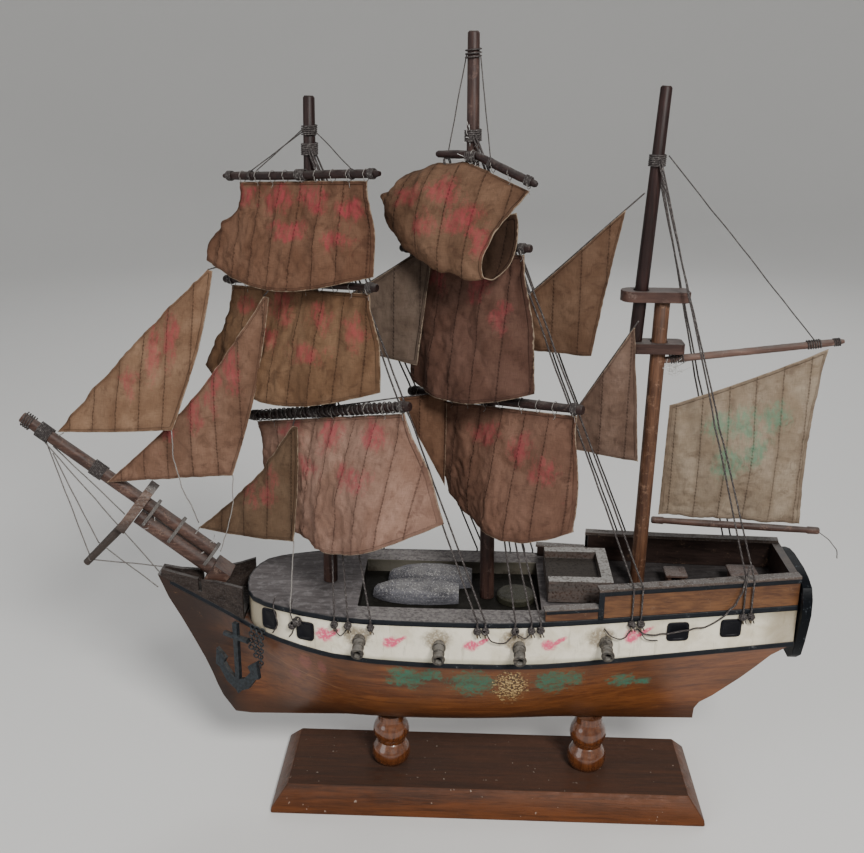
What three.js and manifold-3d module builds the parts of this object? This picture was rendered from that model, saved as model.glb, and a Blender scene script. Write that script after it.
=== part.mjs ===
// Model sailing ship on a stand: bow at -X, stern at +X, port side at -Y, up +Z.
// Origin at the centre of the stand's underside. All sizes in millimetres.
import * as THREE from 'three';
import { mergeVertices } from 'three/addons/utils/BufferGeometryUtils.js';
import Module from 'manifold-3d';

const wasm = await Module();
wasm.setup();

// ---------------------------------------------------------------- driving dimensions
const GAP = 0.3;               // clearance between pieces that rest on each other
const MAST_FIT = 0.4;          // clearance of a mast in its plank
// stand
const BASE_L = 205;
const BASE_W = 60;
const BASE_H = 11.4;
const BASE_EDGE = 2.4;         // upright edge under the bevel
const BASE_BEVEL = 7.5;
const FORE_POST_X = -47;
const AFT_POST_X = 49;
const POST_H = 26.3;           // fore post; the aft one reaches up to the rising keel
const POST_R = 9.4;            // fullest turning of a post
// hull block
const HULL_H = 49.6;           // fore end of the keel to the top of the block amidships
const HULL_BEAM = 73;
const KEEL_T = 6;
const STEM_X = -156;
const STERN_X = 135.5;
const KEEL_FORE_X = -123;
const KEEL_AFT_X = 98;
const KEEL_RISE = 4.4;         // aft end of the keel over its fore end
// upper works, with the waist well cut in them
const UPPER_H = 21;            // amidships
const BOW_X = -113;
const WELL_FORE_X = -60;
const WELL_AFT_X = 22;
const WELL_HALF_W = 24;
const WELL_DEPTH = 6;
// quarter bulwark
const RAIL_T = 3.6;
const RAIL_H = 14;
const STEP_H = 5.5;
const STEP_FORE_X = 23;
const STEP_AFT_X = 47;
// transom
const TRANSOM_T = 4.2;
const TRANSOM_HALF_W = 25;
const TRANSOM_TOP = 26;        // above the hull block
// masts
const LOWER_R = 3.3;
const TOP_R = 2.9;
const TIP_R = 2.4;
const FORE_LOWER_TOP = 226;
const FORE_TOPMAST_TOP = 325;
const MAIN_LOWER_TOP = 229;
const MAIN_TOPMAST_TOP = 350;
const MIZZEN_LOWER_TOP = 243;
const MIZZEN_TOPMAST_TOP = 330;
const FORE_APART = 0.6;        // lower mast to topmast
const MAIN_APART = 1.1;
const MIZZEN_APART = 3.9;
const PLANK_T = 4.6;
const PLANK_W = 11;
// yards and sails
const BRACE = 58 * Math.PI / 180;
const YARD_R = 1.75;
const COURSE_YARD_R = 2.1;
const YARD_SPACE = 0.6;        // yard to mast
const HEAD_DROP = 0.5;         // sail head below its yard
const SAIL_T = 0.7;
const LINE_R = 0.5;
// head gear
const BOWSPRIT_R = 4;
const JIB_BOOM_R = 3.1;
const CAP_T = 4.4;
const CAP_W = 8.4;
// guns, anchors, boats
const GUN_L = 10.5;
const GUN_R = 3;
const GUN_Z = 10.5;            // bore above the hull block amidships
const GUN_XS = [-58, -23, 12, 50];
const ANCHOR_H = 37;
const ANCHOR_T = 2;
const BOAT_L = 40;
const BOAT_W = 15;
const BOAT_H = 9;

const keelRise = (x) => KEEL_RISE * (x - KEEL_FORE_X) / (KEEL_AFT_X - KEEL_FORE_X);
const KEEL_Z = BASE_H + POST_H + 2 * GAP - keelRise(FORE_POST_X);
const BLOCK_Z = KEEL_Z + HULL_H;
const HALF_BEAM = HULL_BEAM / 2;
const DECK_Z = BLOCK_Z + GAP + UPPER_H;

// ---------------------------------------------------------------- helpers
const V = (x, y, z) => new THREE.Vector3(x, y, z);
const lerp = THREE.MathUtils.lerp;

// linear interpolation in a table of [key, value] pairs
function table(rows, key) {
  if (key <= rows[0][0]) return rows[0][1];
  for (let i = 1; i < rows.length; i++) {
    if (key <= rows[i][0]) {
      const t = (key - rows[i - 1][0]) / (rows[i][0] - rows[i - 1][0]);
      return lerp(rows[i - 1][1], rows[i][1], t);
    }
  }
  return rows[rows.length - 1][1];
}

function toSolid(geometry) {
  const plain = geometry.clone();
  for (const name of Object.keys(plain.attributes)) {
    if (name !== 'position') plain.deleteAttribute(name);
  }
  const merged = mergeVertices(plain, 1e-4);
  const vertProperties = new Float32Array(merged.attributes.position.array);
  const triVerts = new Uint32Array(merged.index.array);
  const mesh = new wasm.Mesh({ numProp: 3, vertProperties, triVerts });
  mesh.merge();
  return new wasm.Manifold(mesh);
}

function toGeometry(solid) {
  const mesh = solid.getMesh();
  const geometry = new THREE.BufferGeometry();
  const position = new Float32Array(mesh.vertProperties);
  geometry.setAttribute('position', new THREE.BufferAttribute(position, 3));
  geometry.setIndex(new THREE.BufferAttribute(new Uint32Array(mesh.triVerts), 1));
  geometry.computeVertexNormals();
  return geometry;
}

function join(geometries) {
  let solid = toSolid(geometries[0]);
  for (const g of geometries.slice(1)) solid = solid.add(toSolid(g));
  return toGeometry(solid);
}

function cut(geometry, ...tools) {
  let solid = toSolid(geometry);
  for (const t of tools) solid = solid.subtract(toSolid(t));
  return toGeometry(solid);
}

function signedVolume(position, index) {
  let volume = 0;
  const a = V(0, 0, 0);
  const b = V(0, 0, 0);
  const c = V(0, 0, 0);
  for (let i = 0; i < index.length; i += 3) {
    a.fromArray(position, index[i] * 3);
    b.fromArray(position, index[i + 1] * 3);
    c.fromArray(position, index[i + 2] * 3);
    volume += a.dot(b.cross(c));
  }
  return volume;
}

function facesOut(position, index) {
  if (signedVolume(position, index) < 0) {
    for (let i = 0; i < index.length; i += 3) {
      [index[i + 1], index[i + 2]] = [index[i + 2], index[i + 1]];
    }
  }
  const geometry = new THREE.BufferGeometry();
  geometry.setAttribute('position', new THREE.Float32BufferAttribute(position, 3));
  geometry.setIndex(index);
  geometry.computeVertexNormals();
  return geometry;
}

// closed solid through rings that hold the same number of points;
// capAxes picks the two coordinates in which each end cap is filled, or no
// axes for mirrored rings, whose caps are strips from side to side
function loft(rings, capAxes = ['x', 'y']) {
  const n = rings[0].length;
  const position = rings.flat().flatMap((p) => [p.x, p.y, p.z]);
  const index = [];
  for (let r = 0; r < rings.length - 1; r++) {
    for (let i = 0; i < n; i++) {
      const a = r * n + i;
      const b = r * n + (i + 1) % n;
      index.push(a, b, b + n, a, b + n, a + n);
    }
  }
  const last = (rings.length - 1) * n;
  if (capAxes.length === 0) {
    for (let i = 0; i < n / 2 - 1; i++) {
      const [a, b, c, d] = [i, i + 1, n - 2 - i, n - 1 - i];
      index.push(a, c, b, a, d, c);
      index.push(last + a, last + b, last + c, last + a, last + c, last + d);
    }
    return facesOut(position, index);
  }
  const flat = (ring) => ring.map((p) => new THREE.Vector2(p[capAxes[0]], p[capAxes[1]]));
  const turn = THREE.ShapeUtils.area(flat(rings[0])) > 0 ? 1 : -1;
  for (const [ring, first, way] of [[rings[0], 0, -1], [rings[rings.length - 1], last, 1]]) {
    for (const [a, b, c] of THREE.ShapeUtils.triangulateShape(flat(ring), [])) {
      if (way * turn > 0) index.push(first + a, first + b, first + c);
      else index.push(first + a, first + c, first + b);
    }
  }
  return facesOut(position, index);
}

// plate with an outline in two coordinates, running along the third
function plate(outline, axis, from, to) {
  const at = {
    x: (p, d) => V(d, p[0], p[1]),
    y: (p, d) => V(p[0], d, p[1]),
    z: (p, d) => V(p[0], p[1], d),
  }[axis];
  const axes = { x: ['y', 'z'], y: ['x', 'z'], z: ['x', 'y'] }[axis];
  return loft([outline.map((p) => at(p, from)), outline.map((p) => at(p, to))], axes);
}

function block(x0, x1, y0, y1, z0, z1) {
  const g = new THREE.BoxGeometry(x1 - x0, y1 - y0, z1 - z0);
  return g.translate((x0 + x1) / 2, (y0 + y1) / 2, (z0 + z1) / 2);
}

// turned piece from a to b; the profile holds [distance from a, radius] pairs
function turned(a, b, profile, sides) {
  const points = [new THREE.Vector2(0, profile[0][0])];
  for (const [d, r] of profile) points.push(new THREE.Vector2(r, d));
  points.push(new THREE.Vector2(0, profile[profile.length - 1][0]));
  const g = new THREE.LatheGeometry(points, sides);
  const way = b.clone().sub(a).normalize();
  const q = new THREE.Quaternion().setFromUnitVectors(V(0, 1, 0), way);
  return g.applyQuaternion(q).translate(a.x, a.y, a.z);
}

function rod(a, b, r0, r1, sides = 10) {
  return turned(a, b, [[0, r0], [a.distanceTo(b), r1]], sides);
}

// thread along a straight run or a curve through points
function thread(points, radius = LINE_R, steps = 1) {
  const section = new THREE.Shape();
  for (let i = 0; i < 8; i++) {
    const a = i * Math.PI / 4;
    if (i === 0) section.moveTo(radius * Math.cos(a), radius * Math.sin(a));
    else section.lineTo(radius * Math.cos(a), radius * Math.sin(a));
  }
  section.closePath();
  const path = points.length === 2
    ? new THREE.LineCurve3(points[0], points[1])
    : new THREE.CatmullRomCurve3(points);
  return new THREE.ExtrudeGeometry(section, { steps, bevelEnabled: false, extrudePath: path });
}

// thread led over corners: straight runs that overlap a little at each corner
function strand(points, radius = LINE_R) {
  const runs = [];
  for (let i = 1; i < points.length; i++) {
    const way = points[i].clone().sub(points[i - 1]).normalize();
    const a = points[i - 1].clone().addScaledVector(way, i > 1 ? -radius : 0);
    const b = points[i].clone().addScaledVector(way, i < points.length - 1 ? radius : 0);
    runs.push(thread([a, b], radius));
  }
  return runs;
}

// ring of thread around an upright piece
function collar(x, y, z, inner, thick, height, sides = 12) {
  const outer = inner + thick;
  const profile = [[inner, 0], [outer, 0], [outer, height], [inner, height], [inner, 0]];
  const points = profile.map(([r, h]) => new THREE.Vector2(r, h));
  const g = new THREE.LatheGeometry(points, sides);
  return g.rotateX(Math.PI / 2).translate(x, y, z);
}

// thin closed sheet over a grid of points, thickened along its own normals
function sheet(point, columns, rows, thickness = SAIL_T) {
  const front = [];
  for (let r = 0; r <= rows; r++) {
    for (let c = 0; c <= columns; c++) front.push(point(c / columns, r / rows));
  }
  const at = (c, r) => front[r * (columns + 1) + c];
  const back = [];
  for (let r = 0; r <= rows; r++) {
    for (let c = 0; c <= columns; c++) {
      const du = at(Math.min(c + 1, columns), r).clone().sub(at(Math.max(c - 1, 0), r));
      const dv = at(c, Math.min(r + 1, rows)).clone().sub(at(c, Math.max(r - 1, 0)));
      const normal = du.cross(dv).normalize();
      back.push(at(c, r).clone().addScaledVector(normal, thickness));
    }
  }
  const n = front.length;
  const index = [];
  for (let r = 0; r < rows; r++) {
    for (let c = 0; c < columns; c++) {
      const a = r * (columns + 1) + c;
      const b = a + 1;
      const d = a + columns + 1;
      const e = d + 1;
      index.push(a, b, e, a, e, d);
      index.push(n + a, n + e, n + b, n + a, n + d, n + e);
    }
  }
  const rim = [];
  for (let c = 0; c < columns; c++) rim.push([c, 0]);
  for (let r = 0; r < rows; r++) rim.push([columns, r]);
  for (let c = columns; c > 0; c--) rim.push([c, rows]);
  for (let r = rows; r > 0; r--) rim.push([0, r]);
  const id = ([c, r]) => r * (columns + 1) + c;
  for (let i = 0; i < rim.length; i++) {
    const a = id(rim[i]);
    const b = id(rim[(i + 1) % rim.length]);
    index.push(a, n + b, b, a, n + a, n + b);
  }
  const position = [...front, ...back].flatMap((p) => [p.x, p.y, p.z]);
  return facesOut(position, index);
}

const parts = new THREE.Group();

function add(name, geometry, colour, roughness, metalness = 0) {
  const material = new THREE.MeshStandardMaterial({ color: colour, roughness, metalness });
  const mesh = new THREE.Mesh(geometry, material);
  mesh.name = name;
  parts.add(mesh);
}

const OAK = 0x7a4526;
const SPAR = 0x6e4534;
const ORANGE = 0x9a5a26;
const TRIM = 0x1d1f24;
const DUST = 0x77726e;
const CLOTH = 0x9c7d60;
const THREAD = 0x2a2626;
const IRON = 0x303338;

// ---------------------------------------------------------------- stand
function baseBoard() {
  const ring = (inset, z) => {
    const x = BASE_L / 2 - inset;
    const y = BASE_W / 2 - inset;
    return [V(-x, -y, z), V(x, -y, z), V(x, y, z), V(-x, y, z)];
  };
  return loft([ring(0, 0), ring(0.4, BASE_EDGE), ring(BASE_BEVEL, BASE_H)]);
}

function post(x) {
  const z0 = BASE_H + GAP;
  const high = KEEL_Z + keelRise(x - POST_R * 0.7) - GAP - z0;
  const shape = [
    [0, 0.8], [0.05, 0.93], [0.16, 1], [0.27, 0.97], [0.36, 0.82], [0.42, 0.73], [0.48, 0.77],
    [0.56, 0.9], [0.66, 0.95], [0.76, 0.88], [0.84, 0.76], [0.9, 0.71], [1, 0.7],
  ];
  const profile = shape.map(([t, r]) => [t * high, r * POST_R]);
  return turned(V(x, 0, z0), V(x, 0, z0 + high), profile, 20);
}

add('base_board', baseBoard(), OAK, 0.6);
add('fore_pedestal', post(FORE_POST_X), 0x9a5a34, 0.3);
add('aft_pedestal', post(AFT_POST_X), 0x9a5a34, 0.3);

// ---------------------------------------------------------------- hull
// half breadth of the ship at the stripes, as a share of the full half beam
const BREADTH = [
  [-156, 0.065], [-148, 0.085], [-138, 0.14], [-128, 0.23], [-120, 0.33], [-113, 0.45],
  [-105, 0.6], [-98, 0.7], [-90, 0.79], [-80, 0.88], [-70, 0.945], [-55, 0.985], [-30, 1],
  [0, 1], [20, 0.965], [40, 0.895], [60, 0.815], [85, 0.725], [110, 0.64], [135.5, 0.55],
];
// height of the top of the hull block over its lowest point amidships
const BLOCK_SHEER = [
  [-156, 24], [-148, 19.5], [-138, 15], [-128, 11.5], [-118, 8.8], [-108, 7], [-95, 5.2],
  [-75, 2.8], [-50, 0.9], [-25, 0], [25, 0], [50, 1], [85, 3], [135.5, 6.2],
];
const blockTop = (x) => BLOCK_Z + table(BLOCK_SHEER, x);
const hullHalf = (x) => HALF_BEAM * table(BREADTH, x);
const STATIONS = 26;

const STEM = [[0, 0], [0.14, 0.2], [0.35, 0.35], [0.55, 0.55], [0.75, 0.76], [0.9, 0.94], [1, 1]];
const COUNTER = [
  [0, 0], [0.17, 0], [0.24, 0.12], [0.32, 0.24], [0.42, 0.35], [0.59, 0.55], [0.75, 0.69], [0.87, 0.8],
  [0.94, 0.9], [1, 1],
];

function hullRing(level) {
  const x0 = lerp(KEEL_FORE_X, STEM_X, table(STEM, level));
  const x1 = lerp(KEEL_AFT_X, STERN_X, table(COUNTER, level));
  const side = [];
  for (let i = 0; i <= STATIONS; i++) {
    const t = i / STATIONS;
    const xTop = lerp(STEM_X, STERN_X, t);
    const ends = Math.pow(Math.abs(2 * t - 0.95), 2.2);
    const fullness = Math.pow(level, lerp(0.56, 1.25, Math.min(ends, 1)));
    const low = KEEL_Z + keelRise(lerp(KEEL_FORE_X, KEEL_AFT_X, t));
    const top = low + level * (blockTop(xTop) - low);
    const keel = KEEL_T / 2 * (i === 0 ? 0.5 : 1);
    const half = Math.max(keel, lerp(keel, hullHalf(xTop), fullness));
    side.push(V(lerp(x0, x1, t), half, top));
  }
  const port = side.map((p) => V(p.x, -p.y, p.z)).reverse();
  return [...side, ...port];
}

const LEVELS = [0, 0.05, 0.12, 0.2, 0.29, 0.4, 0.53, 0.68, 0.84, 1];
add('hull_block', loft(LEVELS.map(hullRing), []), ORANGE, 0.4);

// upper works: bluff bow, top rising a little to the ends
const BOW_ROUND = [[0, 0], [0.8, 0.2], [2.4, 0.37], [5.5, 0.53], [11, 0.67], [18, 0.78], [28, 0.87]];
function upperHalf(x) {
  const fromBow = x - BOW_X;
  const round = fromBow < 28 ? HALF_BEAM * table(BOW_ROUND, fromBow) : Infinity;
  return Math.min(round, hullHalf(x));
}
const DECK_SHEER = [[-113, 1.6], [-90, 0.9], [-50, 0.1], [0, 0], [50, 1], [90, 2.2], [135.5, 4]];
const deckTop = (x) => DECK_Z + table(DECK_SHEER, x);
const UPPER_AFT_X = STERN_X - GAP;

function upperXs() {
  const bow = [0, 0.8, 2.4, 5.5, 11, 18, 28].map((d) => BOW_X + d);
  const run = [];
  const first = BOW_X + 28;
  for (let i = 1; i <= 15; i++) run.push(lerp(first, UPPER_AFT_X, i / 15));
  return [...bow, ...run];
}

function upperRing(inset, zAt, xs = upperXs()) {
  const side = xs.map((x) => V(x, Math.max(upperHalf(x) - inset, 0.6), zAt(x)));
  return [...side, ...side.map((p) => V(p.x, -p.y, p.z)).reverse()];
}

function upperWorks() {
  const body = loft([upperRing(0, (x) => blockTop(x) + GAP), upperRing(0, deckTop)], []);
  const floor = DECK_Z - WELL_DEPTH;
  const well = block(WELL_FORE_X, WELL_AFT_X, -WELL_HALF_W, WELL_HALF_W, floor, DECK_Z + 9);
  return cut(body, well);
}
add('upper_works', upperWorks(), 0xcfc9b8, 0.7);
const WELL_FLOOR = DECK_Z - WELL_DEPTH;

// quarter bulwark: a U open forward, low at the waist and high by the poop
function quarterBulwark() {
  const xs = [];
  for (let i = 0; i <= 12; i++) xs.push(lerp(STEP_FORE_X, UPPER_AFT_X, i / 12));
  const railTop = (x) => deckTop(x) + RAIL_H - 0.6;
  const outer = loft([
    upperRing(0, (x) => deckTop(x) + GAP, xs),
    upperRing(0.4, railTop, xs),
  ], []);
  const innerXs = xs.map((x, i) => (i === 0 ? x - 4 : x));
  innerXs[innerXs.length - 1] -= RAIL_T;
  const inner = loft([
    upperRing(RAIL_T, (x) => deckTop(x) - 5, innerXs),
    upperRing(RAIL_T, (x) => railTop(x) + 5, innerXs),
  ], []);
  const low = block(
    STEP_FORE_X - 5, STEP_AFT_X, -HALF_BEAM - 5, HALF_BEAM + 5,
    deckTop(STEP_AFT_X) + STEP_H, DECK_Z + RAIL_H + 12,
  );
  return cut(outer, inner, low);
}
add('quarter_bulwark', quarterBulwark(), 0xa0602a, 0.5);

function transom() {
  const w = TRANSOM_HALF_W;
  const z = blockTop(STERN_X);
  const half = [
    [0.52, -11], [0.74, -6.5], [0.86, 2], [0.95, 11], [1, TRANSOM_TOP * 0.65],
    [0.97, TRANSOM_TOP * 0.92], [0.86, TRANSOM_TOP + 2.4], [0.6, TRANSOM_TOP + 4.6],
    [0.3, TRANSOM_TOP + 5.6],
  ];
  const outline = half.map(([y, h]) => [-y * w, z + h]);
  outline.push(...half.map(([y, h]) => [y * w, z + h]).reverse());
  const x0 = STERN_X + GAP;
  return plate(outline, 'x', x0, x0 + TRANSOM_T);
}
add('transom', transom(), 0x1e232c, 0.5);

// beakhead: a trough between two curved head rails, ahead of the bluff bow
const BEAK_AFT_X = BOW_X - GAP;
function beakhead() {
  const rise = [[-154, 3.6], [-146, 6], [-138, 8.5], [-128, 12], [-120, 14.5], [-113.3, 16.5]];
  const ring = (share, inset, lift) => {
    const side = rise.map(([x, h]) => {
      const at = Math.min(x, BEAK_AFT_X);
      const half = Math.max(hullHalf(at) + 0.4 - inset, 0.3);
      return V(at + (inset > 0 ? inset * 0.6 : 0) * (at < -140 ? 1 : 0), half,
        blockTop(at) + 1.4 * GAP + share * h + lift);
    });
    return [...side, ...side.map((p) => V(p.x, -p.y, p.z)).reverse()];
  };
  const body = loft([ring(0, 0, 0), ring(1, 0, 0)], []);
  const trough = loft([ring(0, 2, 2.2), ring(1, 2, 6)], []);
  return cut(body, trough);
}
// ---------------------------------------------------------------- head gear
const BOOM_TIP = V(-212.5, 0, 186);
const BOOM_HEEL = V(-129, 0, 122);
const headWay = BOOM_HEEL.clone().sub(BOOM_TIP).normalize();
const headUp = V(-headWay.z, 0, headWay.x);   // square off the boom, upward
const SPRIT_SPACE = BOWSPRIT_R + JIB_BOOM_R + 0.5;
const spritAt = (x) => {
  const t = (x - BOOM_TIP.x) / headWay.x;
  return BOOM_TIP.clone().addScaledVector(headWay, t).addScaledVector(headUp, -SPRIT_SPACE);
};
const CAP_AT = 65;              // cap centre, measured from the boom's tip
const SPRIT_TIP = BOOM_TIP.clone().addScaledVector(headWay, CAP_AT + CAP_T / 2 + GAP)
  .addScaledVector(headUp, -SPRIT_SPACE);
const SPRIT_HEEL = spritAt(-122.5);
const HEEL_BLOCK = 9;

function bowsprit() {
  const spar = rod(SPRIT_TIP, SPRIT_HEEL, BOWSPRIT_R - 0.3, BOWSPRIT_R, 12);
  const b = new THREE.BoxGeometry(HEEL_BLOCK, HEEL_BLOCK + 3, HEEL_BLOCK);
  b.applyQuaternion(new THREE.Quaternion().setFromUnitVectors(V(1, 0, 0), headWay));
  b.translate(SPRIT_HEEL.x, SPRIT_HEEL.y, SPRIT_HEEL.z);
  return join([spar, b]);
}
function jibBoom() {
  const long = BOOM_TIP.distanceTo(BOOM_HEEL);
  const profile = [
    [0, JIB_BOOM_R * 0.8], [9, JIB_BOOM_R * 0.86], [long * 0.5, JIB_BOOM_R], [long, JIB_BOOM_R],
  ];
  return turned(BOOM_TIP, BOOM_HEEL, profile, 12);
}
// cap plank across both spars, with the dolphin striker driven into its lower end
const STRIKER_L = 30;
const CAP_UP = 16;
const CAP_DOWN = 9;
const capCentre = BOOM_TIP.clone().addScaledVector(headWay, CAP_AT);
function bowspritCap() {
  const q = new THREE.Quaternion().setFromUnitVectors(V(1, 0, 0), headWay);
  const whole = CAP_UP + CAP_DOWN;
  const plank = new THREE.BoxGeometry(CAP_T, CAP_W + 3, whole);
  plank.translate(0, 0, (CAP_UP - CAP_DOWN) / 2 - SPRIT_SPACE).applyQuaternion(q);
  plank.translate(capCentre.x, capCentre.y, capCentre.z);
  const hole = rod(
    capCentre.clone().addScaledVector(headWay, -9), capCentre.clone().addScaledVector(headWay, 9),
    JIB_BOOM_R + MAST_FIT, JIB_BOOM_R + MAST_FIT, 12,
  );
  const foot = capCentre.clone().addScaledVector(headUp, -SPRIT_SPACE - CAP_DOWN + 3);
  const way = headUp.clone().multiplyScalar(-1).addScaledVector(headWay, -0.12).normalize();
  const end = foot.clone().addScaledVector(way, STRIKER_L);
  return join([cut(plank, hole), rod(foot, end, 2.1, 1.7, 8)]);
}
add('bowsprit', bowsprit(), SPAR, 0.6);
add('jib_boom', jibBoom(), SPAR, 0.6);
add('bowsprit_cap', bowspritCap(), DUST, 0.8);

function beakheadClear() {
  const room = GAP + 0.4;
  const spar = rod(
    spritAt(-150), spritAt(-104), BOWSPRIT_R + room, BOWSPRIT_R + room, 12,
  );
  const half = (HEEL_BLOCK + 3) / 2 + room;
  const heel = block(
    SPRIT_HEEL.x - HEEL_BLOCK, BEAK_AFT_X + 2, -half, half,
    SPRIT_HEEL.z - HEEL_BLOCK * 0.72 - room, SPRIT_HEEL.z + 20,
  );
  return cut(beakhead(), spar, heel);
}
add('beakhead', beakheadClear(), DUST, 0.8);

// ---------------------------------------------------------------- deck fittings
const HATCH_FORE_X = WELL_AFT_X + 3;
const HATCH_L = 29;
const HATCH_W = 36;
const HATCH_H = 10.5;
const HATCH_RIM = 5;
function deckHatch() {
  const x0 = HATCH_FORE_X;
  const x1 = x0 + HATCH_L;
  const z0 = deckTop(x1) + GAP;
  const z1 = z0 + HATCH_H;
  const body = block(x0, x1, -HATCH_W / 2, HATCH_W / 2, z0, z1);
  const recess = block(
    x0 - 1, x1 - HATCH_RIM, -HATCH_W / 2 + HATCH_RIM, HATCH_W / 2 - HATCH_RIM, z1 - 3.4, z1 + 1,
  );
  return cut(body, recess);
}
add('deck_hatch', deckHatch(), 0x8f8b86, 0.8);

const ROUND_R = 9;
const ROUND_H = 3.6;
add('round_hatch', turned(
  V(11.5, -2, WELL_FLOOR + GAP), V(11.5, -2, 150),
  [[0, ROUND_R], [ROUND_H - 1, ROUND_R], [ROUND_H, ROUND_R - 1.2]], 18,
), 0x4a4a34, 0.8);

// upturned dinghy: pointed at the bow, cut square at the stern
function boat(cx, cy) {
  const shape = [[0, 0.05], [0.08, 0.42], [0.22, 0.76], [0.42, 0.97], [0.62, 1], [0.82, 0.9], [1, 0.7]];
  const ring = (share, h) => {
    const side = shape.map(([t, w]) => V(
      cx - BOAT_L / 2 + t * BOAT_L + (t < 0.1 ? (1 - share) * 5 : 0),
      w * BOAT_W / 2 * share, WELL_FLOOR + GAP + h * BOAT_H * (0.8 + 0.2 * Math.sin(Math.PI * t)),
    ));
    const far = side.map((p) => V(p.x, -p.y, p.z)).reverse();
    return [...side, ...far].map((p) => V(p.x, p.y + cy, p.z));
  };
  return loft([ring(0.93, 0), ring(1, 0.18), ring(0.86, 0.66), ring(0.55, 0.92), ring(0.16, 1)]);
}
add('port_boat', boat(-35, -3.6), 0x5f5c5a, 0.9);
add('starboard_boat', boat(-29, 12.4), 0x5f5c5a, 0.9);

// guns: short stubby barrels set square on the hull side, muzzles a little low
function gun(x, side) {
  const slope = (upperHalf(x + 3) - upperHalf(x - 3)) / 6;
  const z = blockTop(x) + GUN_Z;
  const start = V(x, side * (upperHalf(x) + GAP + Math.abs(slope) * GUN_R), z);
  const way = V(0, side, -0.2).normalize();
  const shift = start.clone().addScaledVector(way, 0.7);
  const profile = [
    [0, GUN_R], [1.6, GUN_R], [2, GUN_R * 0.84], [5, GUN_R * 0.94], [5.6, GUN_R * 0.8],
    [GUN_L - 2.4, GUN_R * 0.66], [GUN_L - 1.6, GUN_R * 0.82], [GUN_L, GUN_R * 0.78],
  ];
  return turned(shift, shift.clone().addScaledVector(way, 5), profile, 12);
}
GUN_XS.forEach((x, i) => {
  add(`port_gun_${i + 1}`, gun(x, -1), 0x6e6860, 0.6, 0.3);
  add(`starboard_gun_${i + 1}`, gun(x, 1), 0x6e6860, 0.6, 0.3);
});

// anchors: flat casting with an upright stock, hung below the head rails
const ANCHOR_X = -117;
const anchorTop = blockTop(ANCHOR_X) - 1;
const anchorWay = Math.atan2(hullHalf(ANCHOR_X + 13) - hullHalf(ANCHOR_X - 13), 26);
const anchorY = hullHalf(ANCHOR_X) + 3;
function anchor(side) {
  const h = ANCHOR_H;
  const w = h * 0.29;
  const shaft = 1.3;
  const arms = [
    [-w * 0.42, -h * 0.74], [-w * 0.76, -h * 0.62], [-w * 0.62, -h * 0.55], [-w * 1.12, -h * 0.44],
    [-w * 1.22, -h * 0.68], [-w * 1.02, -h * 0.7], [-w * 0.62, -h * 0.87], [-w * 0.12, -h * 0.95],
    [0, -h],
  ];
  const half = [[-shaft, 0], [-shaft, -h * 0.78], ...arms];
  const full = [...half, ...half.slice(0, -1).map(([x, z]) => [-x, z]).reverse()];
  const flat = plate(full, 'y', -ANCHOR_T / 2, ANCHOR_T / 2);
  const stock = rod(V(-w * 0.66, 0, -h * 0.2), V(w * 0.66, 0, -h * 0.2), 1.35, 1.35, 8);
  const whole = join([flat, stock]).rotateZ(side * anchorWay);
  return whole.translate(ANCHOR_X, side * anchorY, anchorTop);
}
add('port_anchor', anchor(-1), IRON, 0.6, 0.6);
add('starboard_anchor', anchor(1), IRON, 0.6, 0.6);

// ---------------------------------------------------------------- masts
const mastLine = (x0, z0, x1, z1) => (z) => lerp(x0, x1, (z - z0) / (z1 - z0));
const foreLower = mastLine(-75, 110, -73.6, 226);
const mainLower = mastLine(-1.8, 97, -4.2, 229);
const mizzenLower = mastLine(67, 110, 69, 243);
const FORE_HEEL = 208;
const MAIN_HEEL = 211;
const MIZZEN_HEEL = 226;
// a topmast stands ahead of its lower mast, and leans by itself
function topmastLine(lower, heel, apart, top, lean) {
  const x = lower(heel) - LOWER_R - TOP_R - apart;
  return mastLine(x, heel, x + lean, top);
}
const foreTopmast = topmastLine(foreLower, FORE_HEEL, FORE_APART, FORE_TOPMAST_TOP, 1.6);
const mainTopmast = topmastLine(mainLower, MAIN_HEEL, MAIN_APART, MAIN_TOPMAST_TOP, -1.8);
const mizzenTopmast = topmastLine(mizzenLower, MIZZEN_HEEL, MIZZEN_APART, MIZZEN_TOPMAST_TOP, 5.4);

function mast(line, z0, z1, r0, r1) {
  const a = V(line(z0), 0, z0);
  const b = V(line(z1), 0, z1);
  const long = a.distanceTo(b);
  const profile = [[0, r0], [long * 0.55, lerp(r0, r1, 0.4)]];
  profile.push([long - 0.8, r1], [long, r1 - 0.6]);
  return turned(a, b, profile, 12);
}
const FORE_FOOT = deckTop(-75) + GAP + 0.1;
const MIZZEN_FOOT = deckTop(67) + GAP + 0.1;
add('fore_lower_mast', mast(foreLower, FORE_FOOT, FORE_LOWER_TOP, LOWER_R, LOWER_R), SPAR, 0.6);
add('fore_topmast', mast(foreTopmast, FORE_HEEL, FORE_TOPMAST_TOP, TOP_R, TIP_R), SPAR, 0.6);
add('main_lower_mast', mast(mainLower, WELL_FLOOR + GAP, MAIN_LOWER_TOP, LOWER_R, LOWER_R), SPAR, 0.6);
add('main_topmast', mast(mainTopmast, MAIN_HEEL, MAIN_TOPMAST_TOP, TOP_R, TIP_R), SPAR, 0.6);
add('mizzen_lower_mast', mast(mizzenLower, MIZZEN_FOOT, MIZZEN_LOWER_TOP, LOWER_R, LOWER_R), SPAR, 0.6);
add('mizzen_topmast', mast(mizzenTopmast, MIZZEN_HEEL, MIZZEN_TOPMAST_TOP, TOP_R, TIP_R), SPAR, 0.6);

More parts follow.
